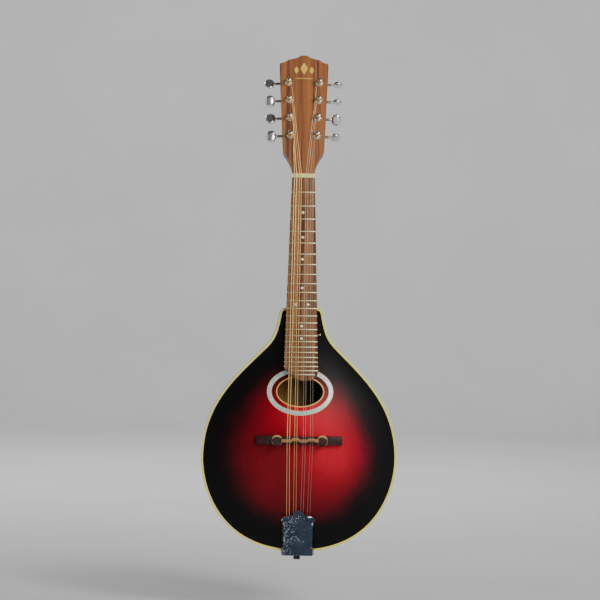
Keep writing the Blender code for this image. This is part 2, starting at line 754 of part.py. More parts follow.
def gear_outline():
    """Teeth that pass between the worm's threads with room to spare."""
    outer = WORM_OFFSET - WORM_CORE - 0.25 * MM
    root = WORM_OFFSET - WORM_OUTER - 0.25 * MM
    tip_half = 0.24 * MM
    root_half = 0.42 * MM
    outline = []
    for tooth in range(GEAR_TEETH):
        middle = math.pi / 2 + 2 * math.pi * tooth / GEAR_TEETH
        for radius, half, side in ((root, root_half, -1), (outer, tip_half, -1),
                                   (outer, tip_half, 1), (root, root_half, 1)):
            angle = middle + side * half / radius
            outline.append((radius * math.cos(angle), radius * math.sin(angle)))
    return outline


def post_mesh():
    """A string post with its gear fixed on the lower end."""
    bm = bmesh.new()
    low = GEAR_W - GEAR_FACE / 2
    high = GEAR_W + GEAR_FACE / 2
    gear = gear_outline()
    bottom = [bm.verts.new((x, y, low)) for x, y in gear]
    top = [bm.verts.new((x, y, high)) for x, y in gear]
    count = len(gear)
    for i in range(count):
        j = (i + 1) % count
        bm.faces.new((bottom[i], bottom[j], top[j], top[i]))
    bm.faces.new(bottom)
    segments = 12
    rings = []
    for radius, w in ((POST_RADIUS, high), (POST_RADIUS, POST_TOP - 0.6 * MM),
                      (2.4 * MM, POST_TOP)):
        rings.append([bm.verts.new((radius * math.cos(2 * math.pi * i / segments),
                                    radius * math.sin(2 * math.pi * i / segments), w))
                      for i in range(segments)])
    for first, second in zip(rings, rings[1:]):
        for i in range(segments):
            j = (i + 1) % segments
            bm.faces.new((first[i], first[j], second[j], second[i]))
    bm.faces.new(rings[-1])
    rim = [bm.edges.get((top[i], top[(i + 1) % count])) for i in range(count)]
    foot = [bm.edges.get((rings[0][i], rings[0][(i + 1) % segments])) for i in range(segments)]
    bmesh.ops.bridge_loops(bm, edges=rim + foot)
    return mesh_from(bm, "tuner_post")


def combined(name, mesh, other, operation="DIFFERENCE"):
    """One mesh from two, for a shape that several objects share."""
    first = place(name + "_blank", mesh, cutter=True)
    second = place(name + "_tool", other, cutter=True)
    boolean(first, second, operation)
    bpy.context.view_layer.update()
    evaluated = first.evaluated_get(bpy.context.evaluated_depsgraph_get())
    made = bpy.data.meshes.new_from_object(evaluated)
    made.name = name
    bpy.data.objects.remove(first)
    bpy.data.objects.remove(second)
    return made


def worm_mesh():
    """A single-start worm along X whose groove faces -Y at X = 0."""
    pitch_radius = WORM_OFFSET - (WORM_CORE + WORM_OUTER) / 2
    lead = 2 * math.pi * pitch_radius / GEAR_TEETH
    sides = 10
    bm = bmesh.new()
    rings = []
    # One section per half-plane through the axis; a full turn on, each thread
    # meets the next one along.
    for k in range(sides):
        share = k / sides
        angle = math.pi + 2 * math.pi * share
        direction = Vector((0, math.cos(angle), math.sin(angle)))
        section = []
        for thread in range(WORM_TURNS):
            centre = (thread + share - WORM_TURNS / 2) * lead
            fade = 1.0
            if thread == 0:
                fade = min(1.0, 3 * share)
            if thread == WORM_TURNS - 1:
                fade = min(1.0, 3 - 3 * share)
            crest = WORM_CORE + (WORM_OUTER - WORM_CORE) * fade + 0.001 * MM
            for offset, radius in ((-WORM_ROOT, WORM_CORE), (-WORM_CREST, crest),
                                   (WORM_CREST, crest), (WORM_ROOT, WORM_CORE)):
                section.append(Vector((centre + offset, 0, 0)) + direction * radius)
        rings.append([bm.verts.new(point) for point in section])
    count = len(rings[0])
    for first, second in zip(rings, rings[1:]):
        for i in range(count - 1):
            bm.faces.new((first[i], first[i + 1], second[i + 1], second[i]))
    last, start = rings[-1], rings[0]
    for i in range(count - 5):
        bm.faces.new((last[i], last[i + 1], start[i + 5], start[i + 4]))
    low = [ring[0] for ring in rings] + [start[4], start[3], start[2], start[1]]
    high = [ring[-1] for ring in rings] + [last[-2], last[-3], last[-4], last[-5]]
    for loop, side in ((low, -1), (high, 1)):
        tip = bm.verts.new((side * (WORM_TURNS / 2 * lead + 0.2 * MM), 0, 0))
        for i in range(len(loop)):
            bm.faces.new((loop[i], loop[(i + 1) % len(loop)], tip))
    return mesh_from(bm, "worm")


def button_mesh():
    """A flattened oval knob on a short collar, along X, bored for its shaft."""
    length, width, thick = BUTTON_SIZE
    start = BUTTON_START + 1.2 * MM
    stations = [(BUTTON_START, 2.3 * MM, 2.3 * MM), (start, 2.4 * MM, 2.2 * MM)]
    steps = 7
    for i in range(1, steps):
        angle = math.pi * i / steps
        bulge = math.sin(angle) ** 0.7
        x = start + length * (1 - math.cos(angle)) / 2
        stations.append((x, width / 2 * bulge, thick / 2 * min(1.0, bulge + 0.12)))
    segments = 12
    rings = []
    for x, half_wide, half_thick in stations:
        rings.append([(x, half_wide * math.cos(2 * math.pi * i / segments),
                       half_thick * math.sin(2 * math.pi * i / segments))
                      for i in range(segments)])
    poles = [(BUTTON_START, 0, 0), (start + length, 0, 0)]
    solid = loft("button_solid", rings, poles=poles)
    bore = cylinder("button_bore", SHAFT_RADIUS + GAP, BUTTON_START - 3 * MM,
                    BUTTON_START + 6 * MM, 10, "X")
    return combined("tuner_button", solid, bore)


def machine_plate_mesh():
    """A strip with a pair of bent lugs for each worm shaft and a hole for each post."""
    back = -HEAD_THICK - GAP - PLATE_TUNER
    low, high = -8 * MM, 3 * POST_STEP + 12.5 * MM
    strip = box("strip", (-6.5 * MM, low, back), (6.5 * MM, high, back + PLATE_TUNER))
    lugs = bmesh.new()
    holes = bmesh.new()
    turn = Matrix.Rotation(math.pi / 2, 4, "Y")
    for k in range(4):
        v = k * POST_STEP
        for o in (-1, 1):
            made = bmesh.ops.create_cube(lugs, size=1.0)["verts"]
            bmesh.ops.scale(lugs, vec=(1.2 * MM, 5.6 * MM, 6.1 * MM), verts=made)
            middle = (o * 4.3 * MM, v + WORM_OFFSET, back - 6.1 * MM / 2 + 0.2 * MM)
            bmesh.ops.translate(lugs, vec=middle, verts=made)
        bmesh.ops.create_cone(holes, cap_ends=True, segments=10, radius1=POST_RADIUS + GAP,
                              radius2=POST_RADIUS + GAP, depth=3 * MM,
                              matrix=Matrix.Translation((0, v, back + PLATE_TUNER / 2)))
        place_bore = Matrix.Translation((0, v + WORM_OFFSET, GEAR_W)) @ turn
        bmesh.ops.create_cone(holes, cap_ends=True, segments=8,
                              radius1=SHAFT_RADIUS + GAP, radius2=SHAFT_RADIUS + GAP,
                              depth=20 * MM, matrix=place_bore)
    solid = combined("lugged", strip, mesh_from(lugs, "lugs"), "UNION")
    return combined("tuner_plate", solid, mesh_from(holes, "plate_holes"))


def make_tuners(head_frame):
    """Eight worm-and-gear machines, four to a plate, numbered as their strings are."""
    post = post_mesh()
    rod = cylinder("rod", SHAFT_RADIUS, -6.4 * MM, BUTTON_START + 5 * MM, 10, "X")
    shaft = combined("tuner_shaft", worm_mesh(), rod, "UNION")
    button = button_mesh()
    plate = machine_plate_mesh()
    for side, sign in (("bass", -1), ("treble", 1)):
        frame = empty("machines_" + side, (sign * POST_X, POST_U, 0),
                      (0, 0, -sign * math.atan(SIDE_SPLAY)), head_frame)
        place("tuner_plate_" + side, plate, frame, look=NICKEL)
        for k in range(4):
            number = k + 1 if sign < 0 else 8 - k
            place(f"tuner_post_{number}", post, frame, (0, k * POST_STEP, 0), look=BRASS)
            axis = empty(f"tuner_axis_{number}", (0, k * POST_STEP + WORM_OFFSET, GEAR_W),
                         (0, math.pi if sign < 0 else 0, 0), frame)
            place(f"tuner_shaft_{number}", shaft, axis, look=STEEL)
            knob = place(f"tuner_button_{number}", button, axis, look=NICKEL)
            knob.rotation_euler.x = math.radians(BUTTON_TURNS[side][k])


def post_holes(head_frame):
    """One cutter for all eight posts' holes through the headstock."""
    bm = bmesh.new()
    for sign in (-1, 1):
        lean = math.atan(SIDE_SPLAY)
        for k in range(4):
            x = sign * (POST_X + k * POST_STEP * math.sin(lean))
            u = POST_U + k * POST_STEP * math.cos(lean)
            bmesh.ops.create_cone(bm, cap_ends=True, segments=10,
                                  radius1=POST_RADIUS + GAP, radius2=POST_RADIUS + GAP,
                                  depth=40 * MM, matrix=Matrix.Translation((x, u, 0)))
    return place("post_holes", mesh_from(bm, "post_holes"), head_frame, cutter=True)


# --- Strings ------------------------------------------------------------------------

def make_strings(head_frame):
    """Each string runs from its hook over the saddle and the nut to one turn on its post."""
    bpy.context.view_layer.update()
    to_world = head_frame.matrix_world
    lean = math.atan(SIDE_SPLAY)
    around = 10
    for i in range(8):
        number = i + 1
        sign = -1 if i < 4 else 1
        k = i if i < 4 else 7 - i
        radius = STRING_RADII[i] * MM
        nut_back = NUT_Z + NUT_LENGTH
        route = [Vector((HOOK_X[i] * MM, HOOK_REACH_Y, HOOK_Z + HOOK_THICK / 2 + GAP)),
                 Vector((SADDLE_X[i] * MM, STRING_Y_BRIDGE, BRIDGE_Z)),
                 Vector((NUT_X[i] * MM, STRING_Y_NUT, NUT_Z)),
                 Vector((NUT_X[i] * MM, STRING_Y_NUT + 0.5 * MM, nut_back))]
        centre = Vector((sign * (POST_X + k * POST_STEP * math.sin(lean)),
                         POST_U + k * POST_STEP * math.cos(lean)))
        wind = POST_RADIUS + GAP + radius
        start_angle = math.pi if sign > 0 else 0.0
        start_w = WIND_LOW if k == 0 else WIND_HIGH
        for step in range(around):
            angle = start_angle - sign * 2 * math.pi * step / around
            w = start_w - WIND_DROP * step / around
            point = Vector((centre.x + wind * math.cos(angle),
                            centre.y + wind * math.sin(angle), w))
            route.append(to_world @ point)
        curve = bpy.data.curves.new(f"string_{number}", "CURVE")
        curve.dimensions = "3D"
        curve.bevel_depth = radius
        curve.bevel_resolution = 1
        curve.use_fill_caps = True
        spline = curve.splines.new("POLY")
        spline.points.add(len(route) - 1)
        for point, target in zip(spline.points, route):
            point.co = (*target, 1.0)
        look = BRONZE if i < 4 else STEEL
        place(f"string_{number}", curve, look=look)


def main():
    clear_scene()
    make_top_plate()
    make_soundhole()
    make_back_plate()
    rim = make_rim_and_binding()
    make_linings()
    neck_block, tail_block = make_blocks()
    make_top_brace()
    neck_frame = empty("neck_frame", (0, board_y(NUT_Z), NUT_Z),
                       (math.pi / 2 - NECK_LEAN, 0, 0))
    head_z = NUT_Z + NUT_LENGTH + GAP
    head_y = board_y(head_z) + BOARD_THICK - VENEER
    head_frame = empty("headstock_frame", (0, head_y, head_z),
                       (math.pi / 2 - HEAD_PITCH, 0, 0))
    make_fretboard(neck_frame)
    make_nut(neck_frame)
    make_neck(head_frame, [post_holes(head_frame)])
    make_riser(neck_frame)
    low = (-TENON_HALF - GAP, TENON_Y[0] - GAP, TENON_Z[0] - GAP)
    high = (TENON_HALF + GAP, TENON_Y[1] + GAP, TENON_Z[1])
    slot = place("tenon_slot", box("tenon_slot", low, high), cutter=True)
    boolean(rim, slot)
    boolean(neck_block, slot)
    wheels = {}
    wheel_y = BASE_TOP_Y - GAP - WHEEL_THICK / 2
    for side, x in (("bass", -WHEEL_X), ("treble", WHEEL_X)):
        wheels[side] = empty("wheel_axis_" + side, (x, wheel_y, BRIDGE_Z))
    saddle_frame = empty("saddle_slide", (0, BASE_TOP_Y, BRIDGE_Z))
    make_bridge(wheels, saddle_frame)
    cover_frame = empty("cover_slide", (0, COVER_Y, COVER_BOTTOM_Z),
                        (math.pi / 2 + COVER_LEAN, 0, 0))
    base = make_tailpiece(cover_frame)
    make_end_pin((base, rim, tail_block))
    make_tuners(head_frame)
    make_strings(head_frame)


main()
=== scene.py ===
"""Finished meshes, materials, lights and camera for the arched mandolin.

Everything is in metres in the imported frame: +Z runs up the neck, the face looks along
-Y and +X is the treble side.
"""
import json
import math

import bmesh
import bpy
import numpy as np
from mathutils import Matrix, Vector


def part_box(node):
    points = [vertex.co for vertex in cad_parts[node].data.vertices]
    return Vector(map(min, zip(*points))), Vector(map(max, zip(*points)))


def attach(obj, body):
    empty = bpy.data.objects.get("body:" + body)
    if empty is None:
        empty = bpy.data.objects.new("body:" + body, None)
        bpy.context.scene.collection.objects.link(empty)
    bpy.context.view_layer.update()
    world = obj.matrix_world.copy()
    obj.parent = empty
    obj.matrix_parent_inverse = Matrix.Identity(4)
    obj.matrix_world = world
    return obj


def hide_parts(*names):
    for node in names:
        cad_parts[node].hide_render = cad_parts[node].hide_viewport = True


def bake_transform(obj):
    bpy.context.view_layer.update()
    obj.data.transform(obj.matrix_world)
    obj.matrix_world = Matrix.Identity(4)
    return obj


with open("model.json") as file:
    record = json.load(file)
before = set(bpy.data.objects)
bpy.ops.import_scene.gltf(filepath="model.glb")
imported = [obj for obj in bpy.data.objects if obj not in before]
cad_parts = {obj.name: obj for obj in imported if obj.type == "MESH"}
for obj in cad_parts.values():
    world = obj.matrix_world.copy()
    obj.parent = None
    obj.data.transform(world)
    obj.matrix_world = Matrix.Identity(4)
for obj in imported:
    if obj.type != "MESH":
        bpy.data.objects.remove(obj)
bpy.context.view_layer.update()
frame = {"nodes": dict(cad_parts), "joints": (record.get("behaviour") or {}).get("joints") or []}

MM = 0.001
JOINTS = {joint["name"]: joint for joint in frame["joints"]}

# Driving sizes, read from the frame where a node states them
RIM_LOW, RIM_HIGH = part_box("rim")
TAIL_Z = RIM_LOW.z
BODY_TOP_Z = RIM_HIGH.z
BODY_HALF_WIDTH = RIM_HIGH.x
EDGE_Y = -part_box("top_binding")[0].y
ARCH_TOP = -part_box("top_plate")[0].y - EDGE_Y
ARCH_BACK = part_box("back_plate")[1].y - EDGE_Y
WIDEST_Z = 136.8 * MM
PLATE = 4.0 * MM
BINDING = 2.8 * MM
RIM_WALL = 2.5 * MM
GAP = 0.3 * MM
SEAM = 0.03 * MM                    # between pieces that are glued in the finished look

BACK_MIDDLE_Z = 150.0 * MM
BURST_Z = 138.0 * MM                # the sunburst's middle
BURST_DOWN = 101.0 * MM             # and how far it reaches from there
BURST_UP = 146.0 * MM
BURST_SIDE = 114.0 * MM
BURST_NARROWS = 22.0 * MM
FLOOR_Z = -70.0 * MM

HOLE_Z = sum(v.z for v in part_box("soundhole_binding")) / 2
HOLE = (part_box("soundhole_binding")[1].x, 21.2 * MM)
HOLE_BINDING = 2.0 * MM
HOLE_LIP = 0.4 * MM                 # how far the top's red lips over the edge binding
RING_OUTER = (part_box("rosette_ring")[1].x, 31.7 * MM)
RING_WIDTH = 6.2 * MM
RING_LINE = 0.7 * MM                # cream line on each side of the pearl

BRIDGE_Z = sum(v.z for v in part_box("bridge_base")) / 2
NUT_Z = 511.6 * MM
NUT_LENGTH = 5.8 * MM
STRING_Y_BRIDGE = -50.0 * MM
STRING_Y_NUT = -15.0 * MM
NUT_ACTION = 0.5 * MM
TWELFTH_ACTION = 1.8 * MM
FRETS = 24
FRET_HEIGHT = 1.0 * MM
FRET_WIDTH = 1.8 * MM
BOARD_THICK = 5.0 * MM
BOARD_HALF_NUT = 15.2 * MM
BOARD_TAPER = 0.030
BOARD_TIP_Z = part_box("fretboard")[0].z
DOTS = ((3, 0), (5, 0), (7, 0), (10, 0), (15, 0), (17, 0), (12, -8.2), (12, 8.2))   # fret, mm

HEEL_Y = 17.0 * MM
SHAFT_END_Z = 500.0 * MM            # where the neck starts to turn into the headstock
SHAFT_LENGTH = 163.0 * MM
NECK_DEPTH = 14.4 * MM              # at the shaft's end
NECK_GROWS = 2.4 * MM               # added to that at the body
NECK_EDGE = 2.6 * MM                # straight part of the neck's side
HEAD_EDGE = 4.6 * MM                # and of the headstock's, where it starts
CREST_U = 152.0 * MM                # from there the headstock's top is shaped
CREST_HALF = 33.3 * MM

HEAD_PITCH = math.radians(17.0)
HEAD_THICK = 16.0 * MM
VENEER = 1.5 * MM
POST_RADIUS = 3.0 * MM
POST_HOLE = 6.9                     # mm above the headstock's face
GEAR_W = -20.1 * MM
GEAR_FACE = 2.2 * MM
GEAR_TEETH = 14
WORM_OFFSET = 6.3 * MM
WORM_CORE = 1.5 * MM
WORM_OUTER = 2.5 * MM
SHAFT_RADIUS = 1.25 * MM
BUTTON_START = 17.6 * MM
SLEEVE = 1.75 * MM                  # radius of the turned sleeve on a shaft
BUTTON_SIZE = (13.0 * MM, 16.3 * MM, 5.6 * MM)
BUTTON_TURNS = (-12.0, 16.0, -17.0, 21.0, 84.0, 88.0, 38.0, 75.0)   # degrees, machines 1 to 8

BASE_TOP_Y = -38.9 * MM
LOBE = 6.3 * MM                     # radius of the saddle's ends, round the posts
LOBE_DROP = 1.2 * MM                # how far those ends hang below the posts' line
WHEEL_X = 30.0 * MM
SADDLE_HALF = 36.5 * MM
COVER_LEAN = math.radians(4.78)
HOOK_Y = -26.9 * MM                 # where a string's loop sits on its hook
HOOK_Z = 24.0 * MM
HOOK_WIRE = 0.75 * MM
STRING_RADII = (0.5, 0.5, 0.33, 0.33, 0.19, 0.19, 0.14, 0.14)      # mm, strings 1 to 8
NUT_X = (-12.4, -9.6, -5.8, -3.0, 3.0, 5.8, 9.6, 12.4)
SADDLE_X = (-17.0, -13.8, -7.2, -4.2, 4.2, 7.2, 13.8, 17.0)
HOOK_X = (-14.8, -11.2, -6.2, -2.6, 2.6, 6.2, 11.2, 14.8)


# --- Materials ----------------------------------------------------------------------

class Look:
    """A Principled material and short calls that add nodes to it."""

    def __init__(self, name, **settings):
        self.material = bpy.data.materials.new(name)
        self.material.use_nodes = True
        self.tree = self.material.node_tree
        self.shader = self.tree.nodes["Principled BSDF"]
        for key, value in settings.items():
            self.shader.inputs[key.replace("_", " ")].default_value = value
        self.place = self.add("ShaderNodeTexCoord").outputs["Object"]

    def add(self, kind, inputs=None, **options):
        node = self.tree.nodes.new(kind)
        for key, value in options.items():
            setattr(node, key, value)
        for key, value in (inputs or {}).items():
            if isinstance(value, bpy.types.NodeSocket):
                self.tree.links.new(value, node.inputs[key])
            else:
                node.inputs[key].default_value = value
        return node

    def set(self, key, socket):
        self.tree.links.new(socket, self.shader.inputs[key])

    def stretched(self, scale):
        node = self.add("ShaderNodeMapping", {"Vector": self.place, "Scale": scale})
        return node.outputs["Vector"]

    def noise(self, vector, scale, detail=4.0, roughness=0.55, distortion=0.0):
        node = self.add("ShaderNodeTexNoise",
                        {"Vector": vector, "Scale": scale, "Detail": detail,
                         "Roughness": roughness, "Distortion": distortion})
        return node.outputs["Fac"]

    def cells(self, scale):
        return self.add("ShaderNodeTexVoronoi", {"Vector": self.place, "Scale": scale}).outputs

    def stored(self, name):
        return self.add("ShaderNodeAttribute", attribute_name=name).outputs["Fac"]

    def x_of(self, vector):
        return self.add("ShaderNodeSeparateXYZ", {"Vector": vector}).outputs["X"]

    def ramp(self, factor, *stops):
        node = self.add("ShaderNodeValToRGB", {"Fac": factor})
        elements = node.color_ramp.elements
        while len(elements) < len(stops):
            elements.new(0.5)
        for element, (position, value) in zip(elements, stops):
            element.position = position
            colour = value if isinstance(value, tuple) else (value,) * 3
            element.color = (*colour, 1.0)
        return node.outputs["Color"]

    def mix(self, factor, first, second, blend="MIX"):
        first, second = ((*c, 1.0) if isinstance(c, tuple) else c for c in (first, second))
        node = self.add("ShaderNodeMix", {0: factor, 6: first, 7: second}, data_type="RGBA",
                        blend_type=blend)
        return node.outputs[2]

    def maths(self, operation, first, second):
        return self.add("ShaderNodeMath", {0: first, 1: second}, operation=operation).outputs[0]

    def remap(self, value, low, high, to_low, to_high):
        node = self.add("ShaderNodeMapRange",
                        {"Value": value, "From Min": low, "From Max": high,
                         "To Min": to_low, "To Max": to_high})
        return node.outputs["Result"]

    def bump(self, height, distance):
        node = self.add("ShaderNodeBump", {"Height": height, "Distance": distance})
        self.set("Normal", node.outputs["Normal"])


def wood(name, dark, light, streak=None, grain=(1, 1, 0.05), scale=60.0, contrast=1.0,
         rough=(0.35, 0.55), coat=0.0, coat_rough=0.2, pores=0.00004, painted_treble_shade=1.0, shine=0.5):
    """Long-grained wood: broad colour bands, fine pores and a lacquer or oil finish.

    Streak adds darker bands, and a painted shade darkens it towards the treble side.
    """
    look = Look(name, Coat_Weight=coat, Coat_Roughness=coat_rough, Specular_IOR_Level=shine)
    along = look.stretched(grain)
    broad = look.noise(along, scale, 5.0, 0.6, 0.6)
    fine = look.noise(along, scale * 14, 3.0, 0.7)
    spread = 0.22 / contrast
    base = look.ramp(broad, (0.5 - spread, dark), (0.5 + spread, light))
    base = look.mix(0.55, base, look.ramp(fine, (0.36, 0.55), (0.52, 1.0)), "MULTIPLY")
    if streak:
        bands = look.noise(look.stretched((grain[0], grain[1], grain[2] * 0.4)),
                           scale * 1.7, 2.0, 0.5, 0.3)
        base = look.mix(look.ramp(bands, (0.55, 0.0), (0.66, 0.85)), base, streak)
    # painted shade: darker towards the treble side
    if painted_treble_shade < 1.0:
        shade = look.remap(look.x_of(look.place), -0.02, 0.012, 1.0, painted_treble_shade)
        base = look.mix(1.0, base, shade, "MULTIPLY")
    look.set("Base Color", base)
    look.set("Roughness", look.remap(fine, 0.3, 0.7, rough[1], rough[0]))
    look.bump(fine, pores)
    return look.material


def metal(name, colour, tarnish, rough=0.2, spots=0.35, scratch=0.00001, brushed=(1, 1, 1),
          patch=260.0):
    """Plated or bare metal, dulled in patches and finely scratched."""
    look = Look(name, Metallic=1.0)
    patches = look.noise(look.place, patch, 6.0, 0.65)
    worn = look.ramp(patches, (0.45, 0.0), (0.75, spots))
    look.set("Base Color", look.mix(worn, colour, tarnish))
    lines = look.noise(look.stretched(brushed), 2600.0, 3.0, 0.7)
    look.set("Roughness",
             look.maths("ADD", look.remap(patches, 0.3, 0.8, rough * 0.7, rough * 1.9),
                        look.remap(lines, 0.3, 0.7, -0.03, 0.05)))
    look.bump(lines, scratch)
    return look.material


def sunburst():
    """Gloss lacquer over a red middle that darkens to black.

    How far out a point is, and how much painted light falls there, are stored on the mesh; away
    from that painted light the stain is darkened as painted shade.
    """
    look = Look("sunburst_lacquer", Coat_Weight=0.20, Coat_Roughness=0.24,
                Specular_IOR_Level=0.06)
    cloud = look.noise(look.place, 22.0, 3.0, 0.5)
    share = look.maths("ADD", look.stored("burst"), look.remap(cloud, 0.3, 0.7, -0.045, 0.045))
    stain = ((0.0, (0.66, 0.006, 0.026)), (0.50, (0.60, 0.004, 0.024)),
             (0.68, (0.42, 0.001, 0.018)), (0.81, (0.15, 0.0005, 0.008)),
             (0.91, (0.024, 0.0005, 0.003)), (1.0, (0.0008, 0.0008, 0.0014)))
    # painted light and shade: full stain where the painted glow lies, darkened towards black
    # everywhere else
    base = look.mix(look.remap(look.stored("heart"), 0.0, 1.0, 0.74, 0.0),
                    look.ramp(share, *stain), (0.0008, 0.0006, 0.0010))
    grain = look.noise(look.stretched((1, 1, 0.02)), 900.0, 3.0, 0.6)
    base = look.mix(0.32, base, look.ramp(grain, (0.35, 0.6), (0.6, 1.0)), "MULTIPLY")
    look.set("Base Color", base)
    dust = look.noise(look.place, 700.0, 5.0, 0.7)
    look.set("Roughness", look.remap(dust, 0.3, 0.75, 0.30, 0.46))
    ripple = look.noise(look.stretched((1, 1, 0.25)), 60.0, 2.0, 0.5)
    look.bump(look.maths("ADD", look.maths("MULTIPLY", grain, 0.1), ripple), 0.00003)
    return look.material


def lacquered_sides():
    """Dark red-brown wood with long bands and short pores under a gloss lacquer."""
    look = Look("side_lacquer", Coat_Weight=0.6, Coat_Roughness=0.15)
    figure = look.noise(look.stretched((1, 0.6, 0.06)), 120.0, 4.0, 0.55, 0.5)
    pores = look.noise(look.stretched((1, 1, 0.06)), 1300.0, 3.0, 0.7)
    base = look.ramp(figure, (0.34, (0.040, 0.012, 0.008)), (0.66, (0.135, 0.040, 0.020)))
    base = look.mix(0.45, base, look.ramp(pores, (0.35, 0.55), (0.55, 1.0)), "MULTIPLY")
    look.set("Base Color", base)
    look.set("Roughness", look.remap(pores, 0.3, 0.7, 0.5, 0.36))
    look.bump(pores, 0.00002)
    return look.material


def celluloid(name, colour, shade):
    """Aged plastic binding with soft yellow mottling and grime."""
    look = Look(name, Coat_Weight=0.15, Coat_Roughness=0.25, Specular_IOR_Level=0.3,
                Subsurface_Weight=0.08)
    look.shader.inputs["Subsurface Radius"].default_value = (0.002, 0.0015, 0.0008)
    look.shader.inputs["Subsurface Scale"].default_value = 1.0
    age = look.noise(look.place, 35.0, 5.0, 0.6)
    grime = look.noise(look.place, 420.0, 4.0, 0.7)
    base = look.mix(look.ramp(age, (0.35, 0.0), (0.72, 1.0)), colour, shade)
    base = look.mix(look.ramp(grime, (0.66, 0.0), (0.80, 0.5)), base, (0.20, 0.15, 0.06))
    look.set("Base Color", base)
    look.set("Roughness", look.remap(grime, 0.3, 0.7, 0.28, 0.45))
    look.bump(grime, 0.00002)
    return look.material


def pearl(name, tint, cells=260.0):
    """Shell inlay: slabs of shifting green, blue and pink under a clear face."""
    look = Look(name, Coat_Weight=0.8, Coat_Roughness=0.08, Metallic=0.15)
    wave = look.noise(look.place, cells, 3.0, 0.6, 1.6)
    dull, bright = (tuple(min(1.0, c * gain) for c in tint) for gain in (0.62, 1.25))
    first = look.ramp(wave, (0.30, dull), (0.50, tint), (0.70, bright))
    hue = look.ramp(look.cells(cells * 0.45)["Distance"], (0.0, (0.95, 0.86, 0.90)),
                    (0.5, (0.82, 0.95, 0.97)), (1.0, (0.97, 1.0, 0.88)))
    look.set("Base Color", look.mix(0.7, first, hue, "MULTIPLY"))
    look.set("Roughness", look.remap(wave, 0.3, 0.7, 0.18, 0.36))
    look.bump(wave, 0.00002)
    return look.material


def winding(name, core, groove_shade_and_tarnish, pitch):
    """A string wrapped in fine wire, as ridges along its length, with painted shade in the grooves
    between the wraps and darker tarnished patches.
    """
    look = Look(name, Metallic=1.0)
    wave = look.add("ShaderNodeTexWave", {"Vector": look.place, "Scale": 1 / pitch / 6.28},
                    wave_type="BANDS", bands_direction="Z")
    ridge = wave.outputs["Fac"]
    dull = look.noise(look.place, 30.0, 3.0, 0.6)
    # painted shade: the low parts of the wave take the darker groove colour
    base = look.mix(look.ramp(ridge, (0.0, 0.6), (0.5, 0.0)), core, groove_shade_and_tarnish)
    base = look.mix(look.ramp(dull, (0.5, 0.0), (0.75, 0.3)), base, groove_shade_and_tarnish)
    look.set("Base Color", base)
    look.set("Roughness", look.remap(dull, 0.3, 0.7, 0.34, 0.46))
    look.bump(ridge, 0.00002)
    return look.material


def cover_plate():
    """Dark plating whose finish has bloomed into pale specks, mostly at the bass side."""
    look = Look("cover_plating", Metallic=1.0)
    side = look.remap(look.x_of(look.place), -0.019, 0.006, 1.0, 0.0)
    field = look.noise(look.place, 110.0, 2.0, 0.5)
    crowd = look.maths("ADD", look.maths("MULTIPLY", side, 0.46),
                       look.remap(field, 0.35, 0.65, -0.26, 0.16))
    wander = look.remap(look.noise(look.place, 900.0, 2.0, 0.5), 0.3, 0.7, -0.1, 0.1)
    dots = look.cells(760.0)
    kept = look.maths("GREATER_THAN", crowd, look.x_of(dots["Color"]))
    reach = look.maths("ADD", dots["Distance"], wander)
    mask = look.maths("MULTIPLY", kept, look.ramp(reach, (0.24, 0.85), (0.42, 0.0)))
    cloud = look.noise(look.place, 60.0, 4.0, 0.6)
    base = look.ramp(cloud, (0.3, (0.034, 0.050, 0.080)), (0.7, (0.066, 0.092, 0.135)))
    look.set("Base Color", look.mix(mask, base, (0.80, 0.82, 0.84)))
    look.set("Metallic", look.maths("SUBTRACT", 1.0, look.maths("MULTIPLY", mask, 0.7)))
    look.set("Roughness", look.remap(mask, 0.0, 1.0, 0.24, 0.75))
    look.bump(look.maths("MULTIPLY", mask, -1.0), 0.00006)
    return look.material


def stage_cloth(name, colour):
    """A dull pale backdrop with a faint cloudiness."""
    look = Look(name, Roughness=0.9)
    cloud = look.ramp(look.noise(look.place, 3.0, 4.0, 0.6), (0.3, 0.0), (0.7, 1.0))
    look.set("Base Color", look.mix(cloud, colour, tuple(c * 0.93 for c in colour)))
    return look.material


